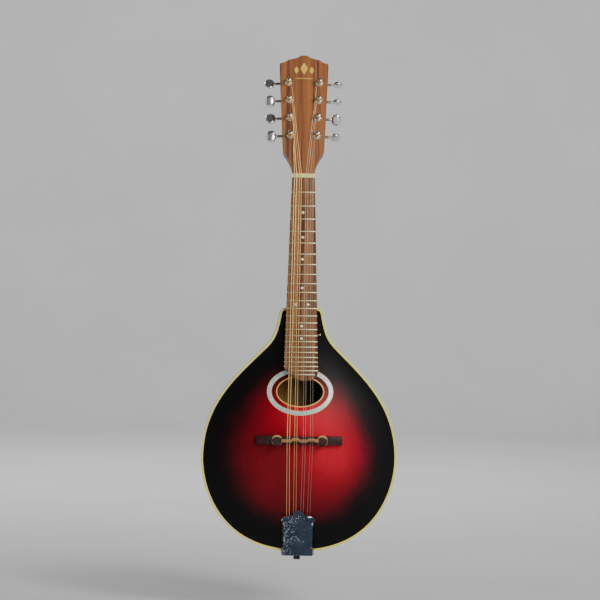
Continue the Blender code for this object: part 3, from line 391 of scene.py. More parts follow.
LOOKS = {
    "sunburst": sunburst(),
    "sides": lacquered_sides(),
    "neck": wood("neck_wood", (0.085, 0.026, 0.014), (0.19, 0.065, 0.030), scale=60.0,
                 grain=(1, 0.3, 0.04), coat=0.35, coat_rough=0.25),
    "spruce": wood("bare_spruce", (0.42, 0.25, 0.11), (0.62, 0.42, 0.21), scale=120.0,
                   grain=(1, 1, 0.03), rough=(0.6, 0.8)),
    # painted shade: darker towards the treble side, away from the light that falls in through the
    # soundhole
    "inside": wood("inside_wood", (0.20, 0.095, 0.020), (0.44, 0.25, 0.065), scale=55.0,
                   rough=(0.7, 0.85), painted_treble_shade=0.10),
    "veneer": wood("headstock_veneer", (0.16, 0.050, 0.014), (0.42, 0.150, 0.036),
                   streak=(0.060, 0.018, 0.020), scale=150.0, grain=(1, 0.03, 0.03),
                   rough=(0.34, 0.5), coat=0.15, coat_rough=0.3),
    "board": wood("fretboard_rosewood", (0.070, 0.027, 0.013), (0.42, 0.185, 0.060),
                  streak=(0.030, 0.012, 0.011), scale=95.0, grain=(1, 0.05, 0.035),
                  contrast=1.9, rough=(0.48, 0.66), pores=0.00005, shine=0.3),
    "ebony": wood("bridge_wood", (0.010, 0.005, 0.005), (0.056, 0.024, 0.020), scale=110.0,
                  grain=(0.06, 1, 1), rough=(0.36, 0.6), pores=0.00005, shine=0.2),
    # painted highlight: lighter brown for the saddle's crest, where it catches the light
    "crest": wood("saddle_crest_highlight", (0.20, 0.080, 0.032), (0.50, 0.24, 0.10), scale=120.0,
                  grain=(0.06, 1, 1), rough=(0.3, 0.5)),
    "binding": celluloid("binding_celluloid", (0.86, 0.80, 0.17), (0.74, 0.67, 0.11)),
    "hole_edge": celluloid("hole_edge_wood", (0.88, 0.48, 0.10), (0.74, 0.35, 0.06)),
    "cream": celluloid("cream_line", (0.78, 0.70, 0.40), (0.66, 0.56, 0.28)),
    "bone": celluloid("bone", (0.96, 0.86, 0.36), (0.84, 0.73, 0.26)),
    "pearl": pearl("pearl_ring", (0.56, 0.68, 0.66)),
    "dot": pearl("pearl_dot", (0.74, 0.76, 0.70), 500.0),
    "fret": metal("fret_wire", (0.66, 0.60, 0.38), (0.40, 0.34, 0.18), 0.34,
                  brushed=(0.05, 1, 1)),
    "chrome": metal("chrome_plate", (0.78, 0.77, 0.74), (0.42, 0.40, 0.36), 0.15, 0.35),
    "post": metal("post_plating", (0.84, 0.79, 0.60), (0.46, 0.40, 0.24), 0.17, 0.4),
    "nickel": metal("nickel_plate", (0.64, 0.61, 0.55), (0.34, 0.30, 0.24), 0.24, 0.6),
    "brass": metal("aged_brass", (0.78, 0.56, 0.25), (0.34, 0.21, 0.09), 0.24, 0.6),
    "steel": metal("plain_steel", (0.36, 0.34, 0.32), (0.14, 0.12, 0.10), 0.30, 0.5),
    "wire": metal("plain_string", (0.58, 0.50, 0.40), (0.36, 0.29, 0.21), 0.34, 0.4,
                  scratch=0.000002, brushed=(1, 1, 0.05), patch=30.0),
    "wound": winding("wound_string", (0.90, 0.60, 0.24), (0.36, 0.19, 0.06), 0.35 * MM),
    "gilt": celluloid("gold_inlay", (0.86, 0.57, 0.09), (0.70, 0.43, 0.06)),
    "cover": cover_plate(),
    "pin": wood("end_pin_wood", (0.010, 0.008, 0.008), (0.030, 0.022, 0.020), scale=160.0,
                rough=(0.2, 0.35), coat=0.5),
}


# --- Mesh helpers -------------------------------------------------------------------

def piece(name, mesh, look, body="root", stands_for=(), sharp=35.0, matrix=None):
    """One finished piece: linked, shaded, given its material and fixed to its body."""
    obj = bpy.data.objects.new(name, mesh)
    bpy.context.scene.collection.objects.link(obj)
    if matrix is not None:
        mesh.transform(matrix)
    looks = look if isinstance(look, tuple) else (look,)
    mesh.materials.clear()
    for key in looks:
        mesh.materials.append(LOOKS[key])
    mesh.shade_smooth()
    mesh.set_sharp_from_angle(angle=math.radians(sharp))
    if body is not None:
        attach(obj, body)
    if stands_for:
        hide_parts(*stands_for)
    return obj


def to_mesh(bm, name):
    bmesh.ops.recalc_face_normals(bm, faces=bm.faces[:])
    mesh = bpy.data.meshes.new(name)
    bm.to_mesh(mesh)
    bm.free()
    return mesh


def loft(name, rings, closed=False, poles=None, caps=True):
    """Skin through rings of points; ends are capped, drawn to poles, or joined."""
    count = len(rings[0])
    points = [tuple(p) for ring in rings for p in ring]
    faces = []
    for r in range(len(rings) if closed else len(rings) - 1):
        first = r * count
        second = ((r + 1) % len(rings)) * count
        for i in range(count):
            j = (i + 1) % count
            faces.append((first + i, first + j, second + j, second + i))
    last = (len(rings) - 1) * count
    if poles:
        for pole, start in zip(poles, (0, last)):
            points.append(tuple(pole))
            tip = len(points) - 1
            faces += [(start + i, start + (i + 1) % count, tip) for i in range(count)]
    elif caps and not closed:
        faces.append(tuple(range(count)))
        faces.append(tuple(range(last, last + count)))
    mesh = bpy.data.meshes.new(name)
    mesh.from_pydata(points, [], faces)
    bm = bmesh.new()
    bm.from_mesh(mesh)
    bmesh.ops.recalc_face_normals(bm, faces=bm.faces[:])
    bm.to_mesh(mesh)
    bm.free()
    return mesh


def scaled(*points):
    """Points written in millimetres, as tuples in metres."""
    return [tuple(value * MM for value in point) for point in points]


def circle(radius, count):
    angles = [2 * math.pi * k / count for k in range(count)]
    return [(radius * math.cos(a), radius * math.sin(a)) for a in angles]


def signed_power(value, power):
    """Keeps the sign, so that it draws a circle out into a box or a lozenge."""
    return math.copysign(abs(value) ** power, value)


def prism(name, outline, low, high):
    return loft(name, [[(x, y, z) for x, y in outline] for z in (low, high)])


def revolve(name, profile, segments=32):
    """Turn (radius, height) pairs about Z; the ends close on the axis."""
    rings = [[(x, y, z) for x, y in circle(radius, segments)]
             for radius, z in profile if radius > 0]
    return loft(name, rings, poles=[(0, 0, profile[0][1]), (0, 0, profile[-1][1])])


def baked(mesh, name, bevel=0.0, segments=2, angle=30.0, cutters=(), joined=()):
    """Apply booleans and a bevel to a mesh and return the result."""
    obj = bpy.data.objects.new(name, mesh)
    bpy.context.scene.collection.objects.link(obj)
    tools = []
    for operation, meshes in (("UNION", joined), ("DIFFERENCE", cutters)):
        for other in meshes:
            tool = bpy.data.objects.new(name + "_tool", other)
            bpy.context.scene.collection.objects.link(tool)
            tools.append(tool)
            modifier = obj.modifiers.new("boolean", "BOOLEAN")
            modifier.operation = operation
            modifier.object = tool
            modifier.solver = "EXACT"
    if bevel:
        modifier = obj.modifiers.new("bevel", "BEVEL")
        modifier.width = bevel
        modifier.segments = segments
        modifier.limit_method = "ANGLE"
        modifier.angle_limit = math.radians(angle)
        modifier.use_clamp_overlap = True
    bpy.context.view_layer.update()
    evaluated = obj.evaluated_get(bpy.context.evaluated_depsgraph_get())
    made = bpy.data.meshes.new_from_object(evaluated)
    made.name = name
    for extra in [obj] + tools:
        bpy.data.objects.remove(extra)
    return made


def merged(name, meshes):
    """Several closed shells as one mesh."""
    bm = bmesh.new()
    for mesh in meshes:
        bm.from_mesh(mesh)
    made = bpy.data.meshes.new(name)
    bm.to_mesh(made)
    bm.free()
    return made


def box(name, low, high):
    bm = bmesh.new()
    bmesh.ops.create_cube(bm, size=1.0)
    bmesh.ops.scale(bm, vec=[b - a for a, b in zip(low, high)], verts=bm.verts)
    bmesh.ops.translate(bm, vec=[(a + b) / 2 for a, b in zip(low, high)], verts=bm.verts)
    return to_mesh(bm, name)


def moved(mesh, matrix):
    made = mesh.copy()
    made.transform(matrix)
    return made


def laid(place, axis="X"):
    """A matrix to a place that lays Z along -Y, or with axis Y along +X."""
    return Matrix.Translation(place) @ Matrix.Rotation(math.pi / 2, 4, axis)


def drill(radius, low, high, matrix, segments=24):
    """A cylinder along Z, moved by a matrix, to cut a bore with."""
    return moved(revolve("drill", [(radius, low), (radius, high)], segments), matrix)


def paint(mesh, rule):
    """Give the faces that a rule picks their piece's second material."""
    for polygon in mesh.polygons:
        if rule(polygon):
            polygon.material_index = 1


def tube(name, path, radius, sides=8):
    """A round wire along a path, closed with blunt points."""
    points = [Vector(p) for p in path]
    count = len(points)
    normal = None
    rings = []
    for i, point in enumerate(points):
        along = (points[min(i + 1, count - 1)] - points[max(i - 1, 0)]).normalized()
        if normal is None:
            normal = along.orthogonal().normalized()
        normal = (normal - along * normal.dot(along)).normalized()
        side = along.cross(normal)
        rings.append([point + (normal * c + side * s) * radius for c, s in circle(1.0, sides)])
    first = points[0] - (points[1] - points[0]).normalized() * radius * 0.4
    last = points[-1] + (points[-1] - points[-2]).normalized() * radius * 0.4
    return loft(name, rings, poles=(first, last))


def bezier(p0, p1, p2, p3, count):
    """Flat points on a curve, without its last one."""
    points = []
    for i in range(count):
        t = i / count
        s = 1 - t
        weights = (s * s * s, 3 * s * s * t, 3 * s * t * t, t * t * t)
        points.append(sum((w * Vector(p) for w, p in zip(weights, (p0, p1, p2, p3))),
                          Vector((0, 0))))
    return points


def mirrored(half):
    """A closed outline from its +X half, whose ends lie on the axis."""
    return [tuple(p) for p in half] + [(-x, y) for x, y in reversed(half[1:-1])]


def inset(outline, distance):
    """Shrink a closed flat outline that runs counter-clockwise."""
    shrunk = []
    count = len(outline)
    for i in range(count):
        before, here = Vector(outline[i - 1]), Vector(outline[i])
        after = Vector(outline[(i + 1) % count])
        first = (here - before).normalized()
        second = (after - here).normalized()
        inward = Vector((-first.y - second.y, first.x + second.x)).normalized()
        stretch = max(0.5, inward.dot(Vector((-first.y, first.x))))
        shrunk.append(tuple(here + inward * (distance / stretch)))
    return shrunk


def rounded(points, radius, steps=4):
    """Round the corners of a closed flat outline."""
    made = []
    count = len(points)
    for i in range(count):
        before, here = Vector(points[i - 1]), Vector(points[i])
        after = Vector(points[(i + 1) % count])
        back, ahead = before - here, after - here
        cut = min(radius, back.length * 0.45, ahead.length * 0.45)
        start = here + back.normalized() * cut
        end = here + ahead.normalized() * cut
        for k in range(steps + 1):
            t = k / steps
            made.append(tuple(start * (1 - t) ** 2 + here * 2 * t * (1 - t) + end * t * t))
    return made


def smooth(t):
    """From 0 to 1 with soft ends."""
    t = min(1.0, max(0.0, t))
    return t * t * (3 - 2 * t)


# --- The body's outline and arch ----------------------------------------------------

def body_half_outline():
    """From the tail, round the lower bout and up the reversed shoulder to the heel."""
    tail = Vector((0.0, TAIL_Z))
    wide = Vector((BODY_HALF_WIDTH, WIDEST_Z))
    waist, cheek = (Vector(p) for p in scaled((61.2, 271.8), (29.9, 323.4)))
    end = Vector((21.6 * MM, BODY_TOP_Z))

    def mm(x, z):
        return Vector((x * MM, z * MM))

    points = bezier(tail, tail + mm(108, 0), wide - mm(0, 37.6), wide, 60)
    points += bezier(wide, wide + mm(0, 65), waist + mm(34.3, -34), waist, 45)
    points += bezier(waist, waist + mm(-20.5, 20.3), cheek + mm(5.9, -29.2), cheek, 30)
    points += bezier(cheek, cheek + mm(-1.6, 7.5), end + mm(6.5, 0), end, 15)
    return points + [end, Vector((end.x / 2, BODY_TOP_Z)), Vector((0.0, BODY_TOP_Z))]


HALF = body_half_outline()
OUTLINE = mirrored(HALF)


class Arch:
    """A smooth dome over the outline: a sheet blown up inside it, with a flat edge."""

    def __init__(self, step=2.5 * MM, rounds=2600):
        self.step = step
        self.x0, self.z0 = -BODY_HALF_WIDTH - step * 2, TAIL_Z - step * 2
        columns = int(round(2 * -self.x0 / step)) + 1
        rows = int((BODY_TOP_Z - self.z0) / step) + 3
        xs = self.x0 + step * np.arange(columns)
        zs = self.z0 + step * np.arange(rows)
        half = np.interp(zs, [p.y for p in HALF], [p.x for p in HALF], left=0.0, right=0.0)
        inside = (np.abs(xs)[None, :] < half[:, None]).astype(float)
        sheet = np.zeros((rows, columns))
        for _ in range(rounds):
            around = (sheet[1:-1, 2:] + sheet[1:-1, :-2] + sheet[2:, 1:-1] + sheet[:-2, 1:-1])
            sheet[1:-1, 1:-1] = inside[1:-1, 1:-1] * (around / 4 + 1.0)
        self.sheet = sheet / sheet.max()

    def blown(self, x, z):
        """The sheet's height at a point, between 0 and 1."""
        u, v = (x - self.x0) / self.step, (z - self.z0) / self.step
        i = min(max(int(v), 0), self.sheet.shape[0] - 2)
        j = min(max(int(u), 0), self.sheet.shape[1] - 2)
        a, b = v - i, u - j
        s = self.sheet
        return float((s[i, j] * (1 - b) + s[i, j + 1] * b) * (1 - a)
                     + (s[i + 1, j] * (1 - b) + s[i + 1, j + 1] * b) * a)

    def rise(self, x, z):
        """The arch's height at a point, between 0 and 1."""
        share = math.sqrt(max(0.0, 1 - self.blown(x, z)))
        return 0.5 * (1 + math.cos(math.pi * min(1.0, share)))


ARCH = Arch()


def top_y(x, z):
    return -EDGE_Y - ARCH_TOP * ARCH.rise(x, z)


def ellipse_ring(axes, grow=0.0):
    """Points on an ellipse round the soundhole, each in line with one of the outline's."""
    a, b = axes[0] + grow, axes[1] + grow
    ring = []
    for x, z in OUTLINE:
        direction = Vector((x, z - HOLE_Z)).normalized()
        scale = 1 / math.sqrt((direction.x / a) ** 2 + (direction.y / b) ** 2)
        ring.append((direction.x * scale, HOLE_Z + direction.y * scale))
    return ring


def between(first, second, share):
    return [tuple(Vector(a).lerp(Vector(b), share)) for a, b in zip(first, second)]


def on_top(ring, depth=0.0):
    """A flat ring laid on the top's arch, or at a depth below its face."""
    return [(x, top_y(x, z) + depth, z) for x, z in ring]


def burst_share(x, z):
    """How far out a point is in the sunburst: 0 in the middle, 1 where it turns black."""
    above = z - BURST_Z
    tall, wide = (BURST_DOWN if above < 0 else BURST_UP), BURST_SIDE
    if above >= 0:
        wide -= BURST_NARROWS * smooth(above / tall)
    return math.hypot(x / wide, above / tall)


# painted light: spots on the top where the key light falls
PAINTED_GLOW_SPOTS = scaled((10, 196, 47, 34), (48, 149, 46, 46))      # middle and spread, in x and z


def painted_glow_share(x, z):
    """Painted light on the stain: brightest above the bridge and to the right below it, where the
    key light falls.
    """
    glow = sum(math.exp(-((x - middle_x) / wide) ** 2 - ((z - middle_z) / tall) ** 2)
               for middle_x, middle_z, wide, tall in PAINTED_GLOW_SPOTS)
    return min(1.0, 0.8 * glow)


def make_top():
    """One closed skin: out to in over the face, and back out underneath."""
    steps = 26
    channel = 1.2 * MM
    edge = inset(OUTLINE, BINDING + SEAM)
    ring_out = ellipse_ring(RING_OUTER, SEAM)
    ring_in = ellipse_ring(RING_OUTER, -RING_WIDTH - SEAM)
    hole = ellipse_ring(HOLE, SEAM - HOLE_LIP)
    rings = [on_top(between(edge, ring_out, (i / steps) ** 1.15)) for i in range(steps + 1)]
    rings += [on_top(ring_out, channel), on_top(ring_in, channel)]
    rings += [on_top(between(ring_in, hole, i / 3)) for i in range(4)]
    rings += [on_top(between(hole, edge, i / 12), PLATE) for i in range(13)]
    mesh = loft("top_plate_finished", rings, closed=True)
    # the second attribute holds painted light and shade for the sunburst
    for name, rule in (("burst", burst_share), ("heart", painted_glow_share)):
        attribute = mesh.attributes.new(name, "FLOAT", "POINT")
        attribute.data.foreach_set("value", [rule(v.co.x, v.co.z) for v in mesh.vertices])
    piece("top_finished", mesh, ("sunburst", "spruce"), stands_for=("top_plate",),
          sharp=50.0)
    paint(mesh, lambda polygon: polygon.normal.y > 0.5)


def edge_ring(name, axes, width, look, thick, stands_for=(), proud=0.0):
    """A flat inlaid hoop round the soundhole with softened edges."""
    soft = 0.15 * MM
    section = ((0.0, soft - proud), (-soft, -proud), (-width + soft, -proud),
               (-width, soft - proud), (-width, thick), (0.0, thick))
    rings = [on_top(ellipse_ring(axes, grow), depth) for grow, depth in section]
    piece(name, loft(name, rings, closed=True), look, stands_for=stands_for)


def make_soundhole():
    edge_axes = tuple(a - HOLE_LIP for a in HOLE)
    edge_ring("soundhole_edge", edge_axes, HOLE_BINDING - HOLE_LIP, "hole_edge",
              PLATE, ("soundhole_binding",), 0.1 * MM)
    depth = 1.1 * MM
    band_axes = tuple(a - RING_LINE - SEAM for a in RING_OUTER)
    inner_axes = tuple(a - RING_WIDTH + RING_LINE for a in RING_OUTER)
    edge_ring("rosette_pearl", band_axes, RING_WIDTH - 2 * RING_LINE - 2 * SEAM, "pearl",
              depth, ("rosette_ring",))
    for name, axes in (("outer", RING_OUTER), ("inner", inner_axes)):
        edge_ring(f"rosette_{name}_line", axes, RING_LINE, "cream", depth)


def make_back():
    steps = 26
    middle = [(0.0, BACK_MIDDLE_Z)] * len(OUTLINE)
    flat = [between(inset(OUTLINE, 0.02 * MM), middle, i / steps) for i in range(1, steps)]

    def lifted(ring, depth):
        return [(x, EDGE_Y + ARCH_BACK * ARCH.rise(x, z) - depth, z) for x, z in ring]

    rings = [lifted(ring, 0.0) for ring in reversed(flat)]
    rings += [lifted(inset(OUTLINE, 0.6 * MM), 0.0), lifted(inset(OUTLINE, 0.2 * MM), 0.2 * MM),
              lifted(OUTLINE, 0.7 * MM), lifted(OUTLINE, PLATE)]
    rings += [lifted(ring, PLATE) for ring in flat]
    height = EDGE_Y + ARCH_BACK * ARCH.rise(0, BACK_MIDDLE_Z)
    mesh = loft("back_finished", rings,
                poles=[(0, height, BACK_MIDDLE_Z), (0, height - PLATE, BACK_MIDDLE_Z)])
    piece("back_finished", mesh, ("sides", "inside"), stands_for=("back_plate",),
          sharp=50.0)
    paint(mesh, lambda polygon: polygon.normal.y < -0.5)


def hoop(name, section, look, stands_for):
    """A band round the body from a section of (inset, y) points."""
    rings = [[(x, y, z) for x, z in inset(OUTLINE, distance)] for distance, y in section]
    piece(name, loft(name, rings, closed=True), look, stands_for=stands_for,
          sharp=40.0)


def make_sides():
    low = -EDGE_Y
    deep = low + PLATE + GAP - SEAM
    face = low - 0.1 * MM
    soft = 0.35 * MM
    hoop("binding_finished",
         [(BINDING, deep), (BINDING, low - 0.05 * MM), (BINDING - 0.1 * MM, face),
          (soft * 2, face), (soft * 0.6, low + 0.05 * MM), (soft * 0.15, low + soft),
          (0.0, low + soft * 2), (0.0, deep)],
         "binding", ("top_binding",))
    front, back = PLATE + GAP - EDGE_Y, EDGE_Y - PLATE - SEAM
    hoop("rim_finished", [(0.02 * MM, front), (0.02 * MM, back), (RIM_WALL, back),
                          (RIM_WALL, front)], "sides", ("rim",))


# --- Neck, headstock, fretboard and nut ---------------------------------------------

def string_y(z):
    share = (z - BRIDGE_Z) / (NUT_Z - BRIDGE_Z)
    return STRING_Y_BRIDGE + (STRING_Y_NUT - STRING_Y_BRIDGE) * share


def board_y(z):
    slope = (TWELFTH_ACTION - NUT_ACTION) / ((NUT_Z - BRIDGE_Z) / 2)
    return string_y(z) + FRET_HEIGHT + NUT_ACTION + slope * (NUT_Z - z)


NECK_LEAN = math.atan((board_y(NUT_Z) - board_y(BRIDGE_Z)) / (NUT_Z - BRIDGE_Z))
NECK_FRAME = (Matrix.Translation((0, board_y(NUT_Z), NUT_Z))
              @ Matrix.Rotation(math.pi / 2 - NECK_LEAN, 4, "X"))
HEAD_START_Z = NUT_Z + NUT_LENGTH + GAP
HEAD_UP = Vector((0, math.sin(HEAD_PITCH), math.cos(HEAD_PITCH)))
HEAD_FRAME = (Matrix.Translation((0, board_y(HEAD_START_Z) + BOARD_THICK - VENEER,
                                  HEAD_START_Z))
              @ Matrix.Rotation(math.pi / 2 - HEAD_PITCH, 4, "X"))


def board_half(length):
    return BOARD_HALF_NUT + BOARD_TAPER * length


def down_the_neck(z):
    return (NUT_Z - z) / math.cos(NECK_LEAN)


def fret_length(number):
    return down_the_neck(BRIDGE_Z) * (1 - 2 ** (-number / 12))


def head_sides():
    """Half widths up the headstock's side, as (half width, distance from the nut)."""
    return scaled((15.3, 0), (15.8, 8), (18.9, 17), (22.9, 25), (26.4, 30), (27.8, 34.5),
                  (33.3, 157.8))


def head_crest():
    """The top edge, from the corner to the middle bump."""
    return scaled((33.3, 157.8), (32.2, 159.7), (27.8, 160.6), (24.8, 162.1), (21.6, 164.6),
                  (12.1, 167.1), (8.2, 168.5), (6.0, 170.2), (3.4, 171.4), (0, 171.6))


def head_half(u):
    sides = head_sides()
    return float(np.interp(u, [p[1] for p in sides], [p[0] for p in sides]))


def head_outline():
    half = head_sides()[:-1] + head_crest()
    return half + [(-x, u) for x, u in reversed(half[:-1])]


def machine(number):
    """A tuning machine's frames from its joints: post, and shaft with X outwards."""
    post = JOINTS[f"post_{number}_turn"]
    turn = JOINTS[f"button_{number}_turn"]
    foot, shaft = Vector(post["pos_m"]), Vector(turn["pos_m"])
    front, out = Vector(post["axis"]).normalized(), Vector(turn["axis"]).normalized()
    up = shaft - foot
    up = (up - front * up.dot(front)).normalized()

    def frame_of(x, y, z, origin):
        made = Matrix((x, y, z)).transposed().to_4x4()
        made.translation = origin
        return made

    return (frame_of(up.cross(front), up, front, foot),
            frame_of(out, up, out.cross(up), shaft))


POSTS = {n: machine(n)[0] for n in range(1, 9)}
SHAFTS = {n: machine(n)[1] for n in range(1, 9)}


def post_drills(low, high):
    """Drills for the eight posts, a little wider than their ferrules' sleeves."""
    return [drill(4.2 * MM, low, high, POSTS[n]) for n in POSTS]


def neck_stations():
    """Sections of the neck from the heel to the headstock's top.

    Each has the middle of its front, the way to its back, half its width, its depth, the
    depth of its straight edge, how square its back is and its share of the crest.
    """
    back = Vector((0, 1, 0))
    head_back = Vector((0, math.cos(HEAD_PITCH), -math.sin(HEAD_PITCH)))
    slab = HEAD_THICK - VENEER - SEAM
    start = HEAD_FRAME @ Vector((0, 0, -VENEER - SEAM))

    def under_board(z):
        front = Vector((0, board_y(z) + BOARD_THICK + SEAM, z))
        return front, board_half(down_the_neck(z)) - 0.05 * MM

    stations = []
    for z in np.linspace(BODY_TOP_Z + SEAM, SHAFT_END_Z, 34):
        front, half = under_board(z)
        heel = 1 - smooth((z - BODY_TOP_Z) / (27 * MM))
        depth = NECK_DEPTH + NECK_GROWS * (SHAFT_END_Z - z) / SHAFT_LENGTH
        depth += (HEEL_Y - front.y - depth) * heel ** 1.5
        stations.append((front, back, half, depth, NECK_EDGE + 2.0 * MM * heel,
                         2.0 + 0.4 * heel, 0.0))
    for z in (0.506, 0.511, 0.515, 0.5174):
        front, half = under_board(z)
        t = smooth((z - SHAFT_END_Z) / (30 * MM))
        stations.append((front, back.lerp(head_back, t).normalized(), half, NECK_DEPTH,
                         NECK_EDGE + 2.0 * MM * t, 2.0 + t, 0.0))
    for u in (*np.linspace(0.6 * MM, 34.5 * MM, 14), *np.linspace(40 * MM, CREST_U, 9)):
        edge = HEAD_EDGE + (slab - HEAD_EDGE) * smooth((u + 12 * MM) / (34 * MM))
        normal = back.lerp(head_back, smooth((u + 17 * MM) / (30 * MM))).normalized()
        stations.append((start + HEAD_UP * u, normal, head_half(u), slab, edge, 3.0, 0.0))
    for share in (0.5, 0.85, 1.0):
        stations.append((start + HEAD_UP * CREST_U, head_back, CREST_HALF, slab, slab, 3.0,
                         share))
    return stations


def make_neck():
    """One loft from the heel, up the shaft and into the pitched headstock."""
    across = 14
    crest = sorted(head_crest())
    crest_x, crest_u = [p[0] for p in crest], [p[1] for p in crest]
    rings = []
    for origin, normal, half, depth, edge, power, share in neck_stations():
        front_line, back_line = [], []
        for i in range(across + 1):
            place = math.cos(math.pi * i / across)
            x = half * place
            bow = (1 - abs(place) ** power) ** (1 / power)
            lift = share * (float(np.interp(abs(x), crest_x, crest_u)) - CREST_U)
            base = origin + Vector((x, 0, 0)) + HEAD_UP * lift
            front_line.append(base)
            back_line.append(base + normal * (edge + (depth - edge) * bow))
        rings.append(front_line + back_line[::-1])
    bm = bmesh.new()
    bm.from_mesh(loft("neck_shape", rings, caps=False))
    bm.verts.ensure_lookup_table()
    width = 2 * (across + 1)
    for start in (0, (len(rings) - 1) * width):
        for i in range(across):
            corners = (start + i, start + i + 1, start + width - 2 - i, start + width - 1 - i)
            bm.faces.new([bm.verts[k] for k in corners])
    mesh = baked(to_mesh(bm, "neck_shape"), "neck_finished",
                 cutters=post_drills(-30 * MM, 2 * MM))
    piece("neck_finished", mesh, "neck", stands_for=("neck",), sharp=40.0)


def make_veneer():
    mesh = prism("veneer", rounded(head_outline(), 1.6 * MM, 3), -VENEER, 0.0)
    mesh.transform(HEAD_FRAME)
    mesh = baked(mesh, "veneer_finished", bevel=0.35 * MM, angle=50,
                 cutters=post_drills(-3 * MM, 2 * MM))
    piece("veneer_finished", mesh, "veneer", stands_for=("headstock_veneer",),
          sharp=12.0)


def make_ornament():
    """A plain inlay near the headstock's top: a lozenge between two drops over a line."""
    outlines = []
    for x, u, wide, tall in scaled((0, 152, 4.8, 8.6), (-10.4, 149.5, 3.0, 5.2),
                                   (10.4, 149.5, 3.0, 5.2)):
        outlines.append([(x + wide * signed_power(c, 1.7), u + tall * signed_power(s, 1.7))
                         for c, s in circle(1.0, 32)])
    outlines.append(rounded(scaled((-12, 137.0), (12, 137.0), (12, 137.8), (-12, 137.8)),
                            0.4 * MM))
    for index, outline in enumerate(outlines):
        piece(f"headstock_inlay_{index + 1}", prism("inlay", outline, -0.4 * MM, 0.1 * MM),
              "gilt", matrix=HEAD_FRAME)


def board_outline():
    """The fretboard from above, starting at the nut, its end cut away at the bass side."""
    tip = down_the_neck(BOARD_TIP_Z)
    shoulder = fret_length(22) + 2.5 * MM
    corner = tip - 13 * MM
    bass = bezier((-board_half(shoulder), -shoulder), (-14 * MM, -shoulder - 6 * MM),
                  (-6 * MM, -tip), (3 * MM, -tip), 20)
    treble = bezier((3 * MM, -tip), (16 * MM, -tip), (22 * MM, -tip + 3 * MM),
                    (board_half(corner), -corner), 16)
    outline = [(-board_half(0), 0.0)] + [tuple(p) for p in bass + treble]
    return outline + [(board_half(corner), -corner), (board_half(0), 0.0)]


def fret_mesh(number):
    """One crowned wire with its ends filed to a slope; the last two are cut short."""
    length = fret_length(number)
    left, right = -board_half(length), board_half(length)
    if number == 23:
        left = -12.0 * MM
    elif number == 24:
        left, right = -6.0 * MM, 19.0 * MM
    slope = 0.9 * MM
    stations = ((left + 0.05 * MM, 0.25), (left + slope * 0.5, 0.72), (left + slope, 1.0),
                (0.0, 1.0), (right - slope, 1.0), (right - slope * 0.5, 0.72),
                (right - 0.05 * MM, 0.25))
    steps = 8
    angles = [math.pi * i / steps for i in range(steps + 1)]
    rings = []
    for x, tall in stations:
        crown = (FRET_HEIGHT - 0.05 * MM) * tall
        rings.append([(x, -length + FRET_WIDTH / 2 * math.cos(angle),
                       0.02 * MM + crown * math.sin(angle) ** 0.8) for angle in angles])
    return loft(f"fret_{number}", rings)


def make_fretboard():
    mesh = prism("board", board_outline(), -BOARD_THICK, 0.0)
    mesh = baked(mesh, "fretboard_finished", bevel=0.75 * MM, segments=3, angle=50)
    # painted shade: the board's sides and bevels take the near-black bridge wood
    shaded_sides = {polygon.index for polygon in mesh.polygons if polygon.normal.z < 0.97}
    piece("fretboard_finished", mesh, ("board", "ebony"), stands_for=("fretboard",),
          matrix=NECK_FRAME, sharp=14.0)
    paint(mesh, lambda polygon: polygon.index in shaded_sides)
    for number in range(1, FRETS + 1):
        piece(f"fret_{number}", fret_mesh(number), "fret",
              matrix=NECK_FRAME, sharp=60.0)
    dot = revolve("dot", scaled((0, -0.5), (1.75, -0.5), (1.75, 0), (1.6, 0.06), (0, 0.08)), 24)
    for index, (number, x) in enumerate(DOTS):
        middle = (fret_length(number) + fret_length(number - 1)) / 2
        place = NECK_FRAME @ Matrix.Translation((x * MM, -middle, 0))
        piece(f"position_dot_{index + 1}", moved(dot, place), "dot")


def make_nut():
    """A bone block with a rounded back and a slot for each string."""
    half = BOARD_HALF_NUT
    seat = FRET_HEIGHT + NUT_ACTION
    top = seat - 0.8 * MM
    profile = [(-half, -BOARD_THICK), (-half, top)]
    for x, radius in zip(NUT_X, STRING_RADII):
        x, r = x * MM, (radius + 0.12) * MM
        for i in range(7):
            angle = math.pi + math.pi * i / 6
            profile.append((x + r * math.cos(angle), min(top, seat + r * math.sin(angle))))
    profile += [(half, top), (half, -BOARD_THICK)]
    rings = []
    for y, drop in ((SEAM, 0.0), (NUT_LENGTH * 0.45, 0.05 * MM), (NUT_LENGTH * 0.75, 0.45 * MM),
                    (NUT_LENGTH, 1.3 * MM)):
        rings.append([(x, y, z - drop if z > 0 else z) for x, z in profile])
    mesh = baked(loft("nut", rings), "nut_finished", bevel=0.12 * MM, segments=1, angle=60)
    piece("nut_finished", mesh, "bone", stands_for=("nut",), matrix=NECK_FRAME)


# --- Bridge -------------------------------------------------------------------------

def bridge_bores(y, low, high):
    """Drills for the two threaded posts, from their reaches below and above a height."""
    return [drill(2.0 * MM, low, high, laid((x, y, BRIDGE_Z))) for x in (-WHEEL_X, WHEEL_X)]


